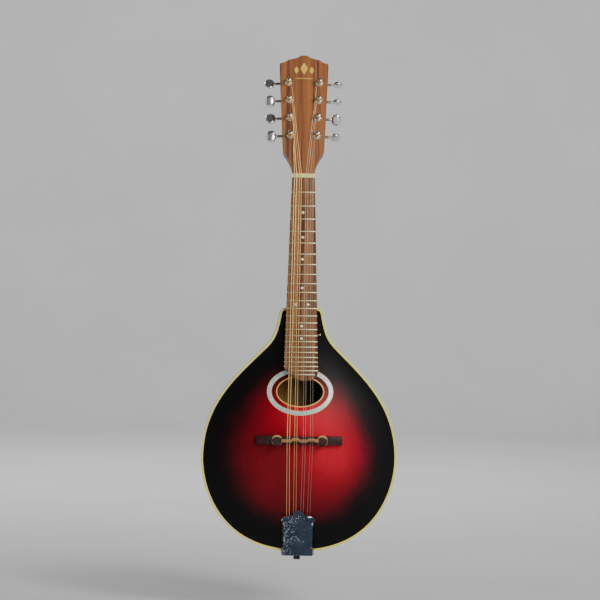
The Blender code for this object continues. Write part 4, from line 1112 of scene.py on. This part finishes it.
def make_bridge_base():
    """A foot that follows the top, narrower in the middle, with thin ends."""
    low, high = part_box("bridge_base")
    half, depth = high.x, (high.z - low.z) / 2
    steps = 60
    soft = 0.7 * MM
    rings = []
    for i in range(steps + 1):
        x = -half + 2 * half * i / steps
        away = abs(x)
        foot = top_y(x, BRIDGE_Z) - 0.12 * MM
        end = smooth((away - 40 * MM) / (15 * MM))
        top = BASE_TOP_Y + 1.1 * MM * end + (foot - 4.2 * MM - BASE_TOP_Y) * end * 0.35
        top += 0.5 * MM * smooth((away - (half - 1.0 * MM)) / (1.0 * MM))
        belly = depth * (1 - 0.10 * (1 - smooth((away - 24 * MM) / (14 * MM))))
        side = [(top + soft, belly), (top + soft * 0.3, belly - soft * 0.3),
                (top, belly - soft)]
        section = [(foot, -belly), (foot, belly)] + side
        section += [(y, -z) for y, z in reversed(side)]
        rings.append([(x, y, BRIDGE_Z + z) for y, z in section])
    mesh = baked(loft("base", rings), "bridge_base_finished",
                 cutters=bridge_bores(BASE_TOP_Y, -8 * MM, 9 * MM))
    piece("bridge_base_finished", mesh, "ebony", stands_for=("bridge_base",))


def make_saddle():
    """A bar with a stepped crest and round ends that sit over the posts."""
    crest_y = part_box("bridge_saddle")[0].y
    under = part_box("bridge_saddle")[1].y
    post_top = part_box("bridge_post_bass")[0].y
    steps = scaled((-19.5, 0.5), (-19.0, 0.2), (-11.2, 0.2), (-10.4, 1.9), (-1.4, 1.9),
                   (-0.6, 0.2), (9.9, 0.2), (10.7, 1.7), (19.0, 1.7), (19.5, 0.8))
    offsets = [(-SADDLE_HALF, 0.0), *steps, (SADDLE_HALF, 0.0)]
    offset_x, offset_z = [p[0] for p in offsets], [p[1] for p in offsets]
    evenly = {-SADDLE_HALF + 2 * SADDLE_HALF * i / 72 for i in range(1, 72)}
    wide = 3.3 * MM
    low_side = under - 0.02 * MM
    rings = []
    for x in sorted(evenly | set(offset_x)):
        away = abs(x)
        shoulder = smooth((away - 21 * MM) / (9 * MM))
        shift = float(np.interp(x, offset_x, offset_z)) * (1 - shoulder)
        tip = max(0.0, (away - (SADDLE_HALF - 2 * MM)) / (2 * MM))
        round_end = math.sqrt(max(0.0, 1 - min(1.0, tip) ** 2))
        top = min(crest_y + 2.6 * MM * shoulder, post_top - 1.0 * MM)
        top += 1.6 * MM * (1 - round_end)
        lobe = LOBE * math.sqrt(max(0.0, 1 - ((away - WHEEL_X) / LOBE) ** 2))
        half_wide = wide * (0.3 + 0.7 * round_end) if away < WHEEL_X else 1.2 * MM
        half_wide = max(half_wide, lobe)
        thick = max(2.1 * MM + 1.0 * MM * shoulder, lobe - 0.9 * MM)
        thick = min(thick, half_wide * 0.9)
        middle = BRIDGE_Z - LOBE_DROP * smooth((lobe - wide) / (1.5 * MM))
        mid = top + (low_side - top) * 0.45
        section = ((low_side, -half_wide), (low_side, half_wide), (mid, half_wide * 0.93),
                   (top + 0.4 * MM, shift + thick), (top, shift + thick * 0.5),
                   (top, shift - thick * 0.5), (top + 0.4 * MM, shift - thick),
                   (mid, -half_wide * 0.93))
        rings.append([(x, y, middle + z) for y, z in section])
    mesh = baked(loft("saddle", rings), "saddle_finished",
                 cutters=bridge_bores(under, -6 * MM, under - post_top + 0.45 * MM))
    piece("saddle_finished", mesh, ("ebony", "crest"), "saddle",
          stands_for=("bridge_saddle",))
    # painted highlight: the crest's front faces take the lighter brown wood, as if catching the
    # light
    paint(mesh, lambda polygon: polygon.center.y < crest_y + 1.2 * MM
          and abs(polygon.center.x) < 24 * MM)


def make_wheels():
    """Knurled thumbwheels on threaded posts."""
    for side, x in (("bass", -WHEEL_X), ("treble", WHEEL_X)):
        low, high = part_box("bridge_wheel_" + side)
        radius = (high.x - low.x) / 2 - 0.02 * MM
        half = (high.y - low.y) / 2
        teeth, per_tooth = 48, 4
        knurl = 0.16 * MM
        profile = ((2.1 * MM, -half), (radius * 0.93, -half), (radius, -half * 0.55),
                   (radius, half * 0.55), (radius * 0.93, half), (2.1 * MM, half))
        rings = []
        for r, z in profile:
            ring = []
            for i, (c, s) in enumerate(circle(1.0, teeth * per_tooth)):
                dip = 1 - math.cos(2 * math.pi * i / per_tooth) if r == radius else 0.0
                ring.append(((r - knurl * dip) * c, (r - knurl * dip) * s, z))
            rings.append(ring)
        piece("wheel_finished_" + side, loft("wheel", rings, closed=True), "brass",
              "wheel_" + side, stands_for=("bridge_wheel_" + side,),
              matrix=laid((x, (low.y + high.y) / 2, BRIDGE_Z)), sharp=50.0)
        low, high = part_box("bridge_post_" + side)
        length = high.y - low.y
        pitch, core, ridge = 0.7 * MM, 1.50 * MM, 1.78 * MM
        profile = [(0, 0.0), (core, 0.0)]
        for k in range(int(length / pitch)):
            profile += [(r, (k + share) * pitch) for r, share in
                        ((core, 0.12), (ridge, 0.42), (ridge, 0.58), (core, 0.88))]
        profile += [(core, length), (0, length)]
        piece("post_finished_" + side, revolve("post", profile, 20), "brass",
              stands_for=("bridge_post_" + side,),
              matrix=laid((x, high.y, BRIDGE_Z)), sharp=30.0)


# --- Tailpiece ----------------------------------------------------------------------

def cover_outline():
    """The cover from above: straight sides, then a scrolled top."""
    half = scaled((19.4, 0), (19.4, 38.0), (20.4, 39.5), (19.6, 41.0), (17.6, 42.2),
                  (18.6, 44.4), (22.3, 46.5), (22.5, 49.9), (19.1, 52.8), (16.5, 51.2),
                  (14.0, 50.9), (11.2, 53.4), (8.6, 54.4), (7.6, 55.8), (4.0, 59.5), (0, 60.9))
    return half + [(-x, s) for x, s in reversed(half[:-1])]


def make_cover():
    """A folded channel with a scrolled flat face beyond it."""
    sheet, face, side = 0.8 * MM, 19.4 * MM, 38.0 * MM
    wide, skirt = 21.9 * MM, -8.75 * MM
    bend = [(face - 1.6 * MM, 0.0), (face - 0.6 * MM, -0.12 * MM), (face, -0.7 * MM),
            (face + 0.25 * MM, -1.6 * MM), (wide, skirt), (wide - sheet, skirt),
            (face - sheet * 0.7, -1.7 * MM), (face - sheet, -sheet * 1.05),
            (face - 1.6 * MM, -sheet)]
    channel = bend + [(-x, w) for x, w in reversed(bend)]
    body = loft("cover_channel", [[(x, s, w) for x, w in channel] for s in (0.0, side)])
    trim = box("trim", (-0.05, -0.01, -0.02), (0.05, side - 0.6 * MM, 0.01))
    cap = baked(prism("cover_cap", rounded(cover_outline(), 0.9 * MM, 3), -sheet, 0.0),
                "cover_cap", cutters=[trim])
    mesh = baked(body, "cover_finished", bevel=0.22 * MM, angle=35, joined=[cap])
    place = (Matrix.Translation((0, -31.2 * MM, 8.7 * MM))
             @ Matrix.Rotation(math.pi / 2 + COVER_LEAN, 4, "X"))
    piece("cover_finished", mesh, "cover", "tail_cover", stands_for=("tailpiece_cover",),
          matrix=place, sharp=12.0)


def make_tailpiece():
    """The bent base leaf with its eight hooks and three screws."""
    leaf = scaled((10.0, 11.0), (10.0, 12.5), (-21.5, 12.5), (-24.4, 60.0), (-25.6, 60.0),
                  (-23.1, 12.4), (-22.4, 11.2))
    rings = [[(x, y, z) for y, z in leaf] for x in (-20.1 * MM, 20.1 * MM)]
    mesh = baked(loft("tail_leaf", rings), "tailpiece_finished", bevel=0.3 * MM,
                 cutters=[drill(3.8 * MM, 5 * MM, 20 * MM, Matrix())])
    piece("tailpiece_finished", mesh, "nickel", stands_for=("tailpiece_base",))
    bend = scaled((-23.6, 0), (-25.6, 0), (-27.2, -0.3), (-28.4, -1.1), (-28.8, -2.2))
    for index, x in enumerate(HOOK_X):
        path = [(x * MM, y, HOOK_Z + rise) for y, rise in bend]
        piece(f"string_hook_{index + 1}", tube("hook", path, HOOK_WIRE, 10), "nickel")
    for index, (x, z) in enumerate(((-12, 50), (0, 54), (12, 50))):
        place = Vector((x * MM, -25.6 * MM + (60.0 - z) * 0.0526 * MM, z * MM))
        screw(f"tailpiece_screw_{index + 1}", place, Vector((0, -1, -0.05)), 2.6 * MM,
              25.0 * index)


def screw(name, place, out, radius, turn=0.0):
    """A domed slotted screw head whose seat is at a place and whose top points out."""
    profile = [(radius * share, z * MM) for share, z in
               ((0, -0.6), (0.5, -0.6), (0.5, 0.0), (1, 0.0), (1, 0.25), (0.88, 0.6),
                (0.6, 0.88), (0.25, 1.0), (0, 1.02))]
    slot_cut = box("slot", (-radius * 1.2, -0.28 * MM, 0.5 * MM),
                   (radius * 1.2, 0.28 * MM, 3 * MM))
    mesh = baked(revolve("head", profile, 20), name, cutters=[slot_cut])
    outwards = out.normalized().to_track_quat("Z", "Y").to_matrix().to_4x4()
    matrix = (Matrix.Translation(place) @ outwards
              @ Matrix.Rotation(math.radians(turn), 4, "Z"))
    piece(name, mesh, "nickel", matrix=matrix, sharp=30.0)


def make_end_pin():
    profile = scaled((0, 30), (3.2, 30), (3.45, 12), (3.5, 10.7), (4.5, 10.7), (4.75, 10.4),
                     (4.8, 9.9), (4.5, 9.3), (3.6, 8.5), (3.15, 7.6), (3.0, 6.6), (3.15, 5.8),
                     (3.7, 4.9), (4.5, 3.9), (4.9, 2.9), (4.97, 2.0), (4.8, 1.1), (4.35, 0.4),
                     (3.8, 0.05), (0, 0))
    piece("end_pin_finished", revolve("end_pin_finished", profile, 40), "pin",
          stands_for=("end_pin",))


def make_pickguard_pin():
    """A short pin across the fretboard's side with a round head."""
    low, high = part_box("pickguard_pin")
    radius = (high.z - low.z) / 2
    length = high.x - low.x
    profile = [(0, 0), (radius * 0.85, 0)]
    profile += [(radius * share, length - left * MM) for share, left in
                ((0.85, 2.4), (1.5, 2.2), (1.9, 1.8), (2.0, 1.1), (1.7, 0.4), (1.0, 0.05), (0, 0))]
    place = laid((low.x, (low.y + high.y) / 2, (low.z + high.z) / 2), "Y")
    piece("pickguard_pin_finished", revolve("pin", profile, 20), "brass",
          stands_for=("pickguard_pin",), matrix=place, sharp=30.0)


# --- Tuning machines ----------------------------------------------------------------

def gear_points(outer, root, tip_half, root_half):
    """A gear's outline, six points to a tooth."""
    points = []
    side = ((root, root_half), (outer * 0.97, tip_half * 1.25), (outer, tip_half * 0.8))
    tooth = [(radius, -half) for radius, half in side] + list(reversed(side))
    for index in range(GEAR_TEETH):
        middle = math.pi / 2 + 2 * math.pi * index / GEAR_TEETH
        for radius, half in tooth:
            angle = middle + half / radius
            points.append((radius * math.cos(angle), radius * math.sin(angle)))
    return points


def post_meshes():
    """The string post with its waist and hole, and the gear with its fixing screw."""
    profile = [(0, GEAR_W), (2.0 * MM, GEAR_W), (2.98 * MM, GEAR_W + 1.0 * MM)]
    profile += scaled((2.98, 5.3), (2.85, 5.6), (2.5, 6.2), (2.42, POST_HOLE), (2.5, 7.6),
                      (2.85, 8.2), (2.98, 8.5), (2.98, 9.6), (2.85, 10.1), (2.5, 10.45),
                      (1.6, 10.65), (0, 10.7))
    bore = drill(0.7 * MM, -5 * MM, 5 * MM, laid((0, 0, POST_HOLE * MM)), 14)
    post = baked(revolve("post", profile, 28), "post", cutters=[bore])
    points = gear_points(WORM_OFFSET - WORM_CORE - 0.25 * MM,
                         WORM_OFFSET - WORM_OUTER - 0.25 * MM, 0.24 * MM, 0.42 * MM)
    low, high = GEAR_W - GEAR_FACE / 2, GEAR_W + GEAR_FACE / 2
    slot_cut = box("slot", (-2.4 * MM, -0.25 * MM, low - 2 * MM),
                   (2.4 * MM, 0.25 * MM, low - 0.42 * MM))
    head = [(r, low + w) for r, w in
            scaled((0, -0.9), (1.2, -0.85), (1.8, -0.55), (2.0, 0), (2.0, 0.3), (0, 0.3))]
    fixing = baked(revolve("gear_screw", head, 20), "gear_screw", cutters=[slot_cut])
    return post, prism("gear", points, low, high), fixing


def worm_shape():
    """A shaft along X with a single-start thread that clears the gear's teeth."""
    pitch_radius = WORM_OFFSET - (WORM_CORE + WORM_OUTER) / 2
    lead = 2 * math.pi * pitch_radius / GEAR_TEETH
    tall = WORM_OUTER - WORM_CORE - 0.02 * MM
    around, along = 28, 96
    thread = []
    for i in range(along + 1):
        x = -3.25 * MM + 6.5 * MM * i / along
        fade = smooth((3.15 * MM - abs(x)) / (0.5 * MM))
        ring = []
        for k, (c, s) in enumerate(circle(1.0, around)):
            phase = (x / lead - k / around) % 1.0
            off = min(phase, 1 - phase) * lead
            height = min(1.0, max(0.0, (0.40 * MM - off) / (0.18 * MM)))
            radius = WORM_CORE + tall * height * fade
            ring.append((x, radius * c, radius * s))
        thread.append(ring)

    def turned(stations):
        return [[(x, y, z) for y, z in circle(radius, around)] for x, radius in stations]

    thin, edge, collar = SHAFT_RADIUS, SLEEVE - 0.15 * MM, SLEEVE + 0.35 * MM
    tail = [(x * MM, radius) for x, radius in
            ((3.3, thin), (5.3, thin), (5.4, edge), (5.7, SLEEVE))]
    tail += [(BUTTON_START + x * MM, radius) for x, radius in
             ((-3.4, SLEEVE), (-3.2, collar), (-2.2, collar), (-2.0, SLEEVE), (-0.5, SLEEVE),
              (-0.3, edge), (-0.2, thin), (5, thin))]
    start = turned([(-6.2 * MM, thin), (-3.3 * MM, thin)])
    return loft("worm", start + thread + turned(tail))


def button_shape():
    """A flattened oval knob with flat faces, a soft rim and a turned collar."""
    length, width, thick = BUTTON_SIZE
    start = BUTTON_START + 1.2 * MM
    stations = [(BUTTON_START + x, wide, flat) for x, wide, flat in
                scaled((0.02, 2.0, 2.0), (0.25, 2.35, 2.35), (0.7, 2.4, 2.4),
                       (1.0, 2.15, 2.15), (1.5, 2.2, 2.1))]
    steps = 18
    for i in range(2, steps):
        angle = math.pi * i / steps
        bulge = math.sin(angle) ** 0.72
        stations.append((start + length * (1 - math.cos(angle)) / 2, width / 2 * bulge,
                         thick / 2 * min(1.0, bulge * 1.02)))
    stations.append((start + length * 0.998, width * 0.12, thick * 0.14))
    rings = []
    for x, half_wide, half_thick in stations:
        square = 0.62 if half_wide > 3 * MM else 1.0
        rings.append([(x, half_wide * signed_power(c, 0.5 + square / 2),
                       half_thick * signed_power(s, square)) for c, s in circle(1.0, 40)])
    poles = [(BUTTON_START + 0.02 * MM, 0, 0), (start + length, 0, 0)]
    bore = drill(SHAFT_RADIUS + 0.05 * MM, 0.0, 5.5 * MM,
                 laid((BUTTON_START - 0.5 * MM, 0, 0), "Y"))
    return baked(loft("button", rings, poles=poles), "button", cutters=[bore])


def plate_shape(numbers):
    """A machine plate with rounded ends, lugs, shaft bores and post holes.

    It comes in its first post's frame, with the posts' span and its back's height.
    """
    first, last = POSTS[numbers[0]], POSTS[numbers[-1]]
    span = (last.translation - first.translation).length
    back = -HEAD_THICK - GAP - 1.0 * MM
    half, low, high = 6.5 * MM, -8 * MM, span + 12.5 * MM
    outline = rounded([(-half, low), (half, low), (half, high), (-half, high)], 3.2 * MM, 6)
    strip = baked(prism("strip", outline, back, back + 0.98 * MM), "strip",
                  bevel=0.2 * MM, segments=1, angle=50)
    holes, lugs = [], []
    for k in range(4):
        v = span * k / 3
        holes.append(drill(3.3 * MM, back - 1 * MM, back + 3 * MM,
                           Matrix.Translation((0, v, 0)), 32))
        shaft_v = v + WORM_OFFSET
        bore = drill(SHAFT_RADIUS + 0.12 * MM, -9 * MM, 9 * MM, laid((0, shaft_v, GEAR_W), "Y"),
                     20)
        tab = rounded([(shaft_v + y, back + w) for y, w in
                       scaled((-2.8, 0.3), (2.8, 0.3), (2.8, -5.85), (-2.8, -5.85))],
                      1.9 * MM, 5)
        for x in (-4.3 * MM, 4.3 * MM):
            rings = [[(x + side, y, w) for y, w in tab] for side in (-0.6 * MM, 0.6 * MM)]
            lugs.append(baked(loft("lug", rings), "lug", bevel=0.12 * MM, segments=1, angle=40,
                              cutters=[bore]))
    strip = baked(strip, "strip", cutters=holes)
    return merged("machine_plate", [strip] + lugs), span, back


def make_tuners():
    post, gear, fixing = post_meshes()
    shaft, button = worm_shape(), button_shape()
    ferrule = revolve("ferrule", scaled(
        (3.05, -1.2), (4.1, -1.2), (4.1, 0.03), (5.3, 0.03), (5.4, 0.2), (5.35, 0.5),
        (5.0, 0.75), (4.7, 0.85), (4.55, 1.2), (4.3, 2.0), (3.9, 2.5), (3.5, 2.7),
        (3.1, 2.55), (3.05, 2.2), (3.05, -1.2)), 36)
    for number in range(1, 9):
        at_post, at_shaft = POSTS[number], SHAFTS[number]
        turn = Matrix.Rotation(math.radians(BUTTON_TURNS[number - 1]), 4, "X")
        post_body, button_body = f"post_{number}", f"button_{number}"
        for name, mesh, look, body, old, slot, sharp in (
                ("post_finished", moved(post, at_post), "post", post_body, "post", "chrome", 35),
                ("gear", moved(gear, at_post), "brass", post_body, None, "brass", 25),
                ("gear_screw", moved(fixing, at_post), "steel", post_body, None, "steel", 35),
                ("shaft_finished", moved(shaft, at_shaft), "steel", button_body, "shaft",
                 "steel", 40),
                ("button_finished", moved(button, at_shaft @ turn), "chrome", button_body,
                 "button", "chrome", 50),
                ("ferrule", moved(ferrule, at_post), "post", "root", None, "chrome", 50)):
            stands_for = (f"tuner_{old}_{number}",) if old else ()
            piece(f"tuner_{name}_{number}", mesh, look, body, stands_for, sharp)
    for side, numbers in (("bass", (1, 2, 3, 4)), ("treble", (8, 7, 6, 5))):
        origin = POSTS[numbers[0]]
        mesh, span, back = plate_shape(numbers)
        piece("machine_plate_" + side, mesh, "nickel", stands_for=("tuner_plate_" + side,),
              matrix=origin)
        out = origin.to_3x3() @ Vector((0, 0, -1))
        for number, v, turn in ((1, -5.4 * MM, 0.0), (5, span + 9.9 * MM, 148.0)):
            screw(f"machine_screw_{side}_{number}", origin @ Vector((0, v, back)), out,
                  2.0 * MM, turn)


# --- Strings ------------------------------------------------------------------------

def string_parts(index):
    """A string's runs: tail, speaking length, and head with its turns on the post."""
    number = index + 1
    radius = STRING_RADII[index] * MM
    hook = Vector((HOOK_X[index] * MM, HOOK_Y, HOOK_Z + HOOK_WIRE + radius))
    saddle = Vector((SADDLE_X[index] * MM, STRING_Y_BRIDGE, BRIDGE_Z))
    nut = Vector((NUT_X[index] * MM, STRING_Y_NUT, NUT_Z))
    nut_back = nut + Vector((0, 0.55 * MM, NUT_LENGTH))
    bass = index < 4
    wind = POST_RADIUS + radius * 1.02
    turns = 3 if radius > 0.3 * MM else 5
    start = (3.5 if number in (1, 8) else 4.9) * MM
    drop = min(2.1 * radius, (start - 2.9 * MM) / turns)
    coil = []
    around = 18
    for step in range(around * turns + 1):
        turned = 2 * math.pi * step / around
        angle = turned if bass else math.pi - turned
        coil.append(POSTS[number] @ Vector((wind * math.cos(angle), wind * math.sin(angle),
                                            start - drop * step / around)))
    tail = [hook.lerp(saddle, t) for t in np.linspace(0.0, 1.0, 14)]
    speaking = [saddle.lerp(nut, t) for t in np.linspace(0.0, 1.0, 26)]
    head = [nut, nut.lerp(nut_back, 0.5), nut_back]
    head += [nut_back.lerp(coil[0], t) for t in (0.2, 0.4, 0.6, 0.8, 0.93)]
    return radius, tail, speaking, head + coil


def make_strings():
    """Each string's runs, its loop and twist at the hook, and its cut tip."""
    for index in range(8):
        number = index + 1
        radius, tail, speaking, head = string_parts(index)
        look, slot = ("wound", "bronze_string") if index < 4 else ("wire", "steel_string")
        for name, path, bodies, stands_for in (
                ("tail", tail, ("root", "saddle"), ()),
                ("speaking", speaking, ("saddle", "root"), (f"string_{number}",))):
            run = piece(f"string_{name}_{number}", tube(name, path, radius), look, None,
                        stands_for)
            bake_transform(run)
        piece(f"string_head_{number}", tube("head", head, radius), look)
        centre = Vector((HOOK_X[index] * MM, HOOK_Y, HOOK_Z - 0.1 * MM))
        size = HOOK_WIRE + 0.22 * MM
        loop = []
        for k in range(25):
            angle = math.pi / 2 + 2 * math.pi * k / 24
            loop.append(centre + Vector((size * math.cos(angle), 0, size * math.sin(angle))))
        piece(f"string_loop_{number}", tube("loop", loop, 0.2 * MM), "wire")
        toward = (tail[-1] - tail[0]).normalized() * 16 * MM
        twist = []
        for share in (k / 39 for k in range(40)):
            angle = share * 2 * math.pi * 6
            aside = Vector((math.cos(angle), math.sin(angle), 0)) * (radius + 0.14 * MM)
            twist.append(tail[0] + toward * share + aside)
        piece(f"string_twist_{number}", tube("twist", twist, 0.16 * MM, 6), "wire")
        tip = [POSTS[number] @ Vector(p) for p in
               scaled((0, -2.0, POST_HOLE), (0, 0, POST_HOLE), (0, 2.8, 6.95), (0, 4.2, 7.4),
                      (0, 4.9, 8.6))]
        piece(f"string_tip_{number}", tube("tip", tip, min(radius, 0.3 * MM)), look,
              f"post_{number}")


# --- Inner pieces, stage, camera and lights -----------------------------------------

def dress_inner_nodes():
    """Carried-over pieces inside the body take bare wood."""
    looks = dict.fromkeys(("neck_block", "tail_block", "top_lining", "back_lining",
                           "top_brace"), "spruce")
    looks["fretboard_riser"] = "neck"
    for name, key in looks.items():
        mesh = frame["nodes"][name].data
        mesh.materials.clear()
        mesh.materials.append(LOOKS[key])


def make_stage():
    """A pale round floor that curves up into a wall all the way round.

    It lies below the end pin, as the instrument hangs in a stand, so the tailpiece
    cover has room to slide off.
    """
    reach, bend, height = 4.4, 0.9, 2.6
    profile = [(0.6, 0.0), (1.6, 0.0), (reach - bend, 0.0)]
    for i in range(1, 13):
        angle = math.pi / 2 * i / 12
        profile.append((reach - bend + bend * math.sin(angle), bend - bend * math.cos(angle)))
    profile.append((reach, height))
    segments = 96
    points = [(0.0, 0.0, 0.0)]
    for radius, z in profile:
        points += [(x, y, z) for x, y in circle(radius, segments)]
    faces = [(0, 1 + k, 1 + (k + 1) % segments) for k in range(segments)]
    for ring in range(len(profile) - 1):
        first, second = 1 + ring * segments, 1 + (ring + 1) * segments
        faces += [(first + k, second + k, second + (k + 1) % segments,
                   first + (k + 1) % segments) for k in range(segments)]
    mesh = bpy.data.meshes.new("sweep")
    mesh.from_pydata(points, [], faces)
    mesh.shade_smooth()
    mesh.materials.append(stage_cloth("sweep_paper", (0.72, 0.72, 0.73)))
    floor = bpy.data.objects.new("sweep", mesh)
    bpy.context.scene.collection.objects.link(floor)
    floor.location.z = FLOOR_Z


def make_camera():
    """Level with the instrument's middle, a little to the bass side, with a slight roll."""
    distance, seen_across = 2.5, 796.08 * MM
    turn, roll = math.radians(-2.0), math.radians(-1.0)
    target = Vector((-2.5 * MM, -30 * MM, 348 * MM))
    data = bpy.data.cameras.new("camera")
    camera = bpy.data.objects.new("camera", data)
    bpy.context.scene.collection.objects.link(camera)
    camera.location = target + Vector((math.sin(turn), -math.cos(turn), 0)) * distance
    ahead = (target - camera.location).normalized()
    camera.rotation_mode = "QUATERNION"
    camera.rotation_quaternion = (Matrix.Rotation(roll, 3, ahead).to_quaternion()
                                  @ ahead.to_track_quat("-Z", "Y"))
    data.sensor_width = 36.0
    data.lens = data.sensor_width * distance / seen_across
    data.clip_end = 20
    bpy.context.scene.camera = camera


def area_light(name, place, target, size, power, colour):
    data = bpy.data.lights.new(name, "AREA")
    data.shape = "RECTANGLE"
    data.size, data.size_y = size
    data.energy = power
    data.color = colour
    light = bpy.data.objects.new(name, data)
    bpy.context.scene.collection.objects.link(light)
    light.location = place
    light.rotation_mode = "QUATERNION"
    light.rotation_quaternion = (Vector(target) - Vector(place)).to_track_quat("-Z", "Y")


def make_lights():
    """Soft studio light: a dim world, two lamps from the front right, and weaker ones."""
    world = bpy.data.worlds.new("studio")
    bpy.context.scene.world = world
    world.use_nodes = True
    background = world.node_tree.nodes["Background"]
    background.inputs["Color"].default_value = (0.82, 0.85, 0.90, 1.0)
    background.inputs["Strength"].default_value = 0.13
    area_light("key", (1.35, -1.55, 1.45), (0, 0, 0.25), (0.7, 0.9), 36, (1.0, 0.96, 0.90))
    area_light("front", (0.95, -2.5, 0.95), (0, 0, 0.25), (0.8, 0.8), 26, (1.0, 0.97, 0.94))
    area_light("fill", (-2.0, -1.2, 0.9), (0, 0, 0.3), (1.0, 1.4), 4, (0.90, 0.95, 1.0))
    area_light("rear", (-1.7, 1.9, 1.85), (0, 0, 0.3), (0.9, 0.6), 22, (1.0, 0.98, 0.95))
    area_light("wall", (0.0, 1.2, 2.3), (0, 4.2, 0.4), (1.6, 0.5), 60, (1, 1, 1))


for make in (make_top, make_soundhole, make_back, make_sides, make_neck, make_veneer,
             make_ornament, make_fretboard, make_nut, make_bridge_base, make_saddle,
             make_wheels, make_cover, make_tailpiece, make_end_pin, make_pickguard_pin,
             make_tuners, make_strings, dress_inner_nodes, make_stage, make_camera,
             make_lights):
    make()
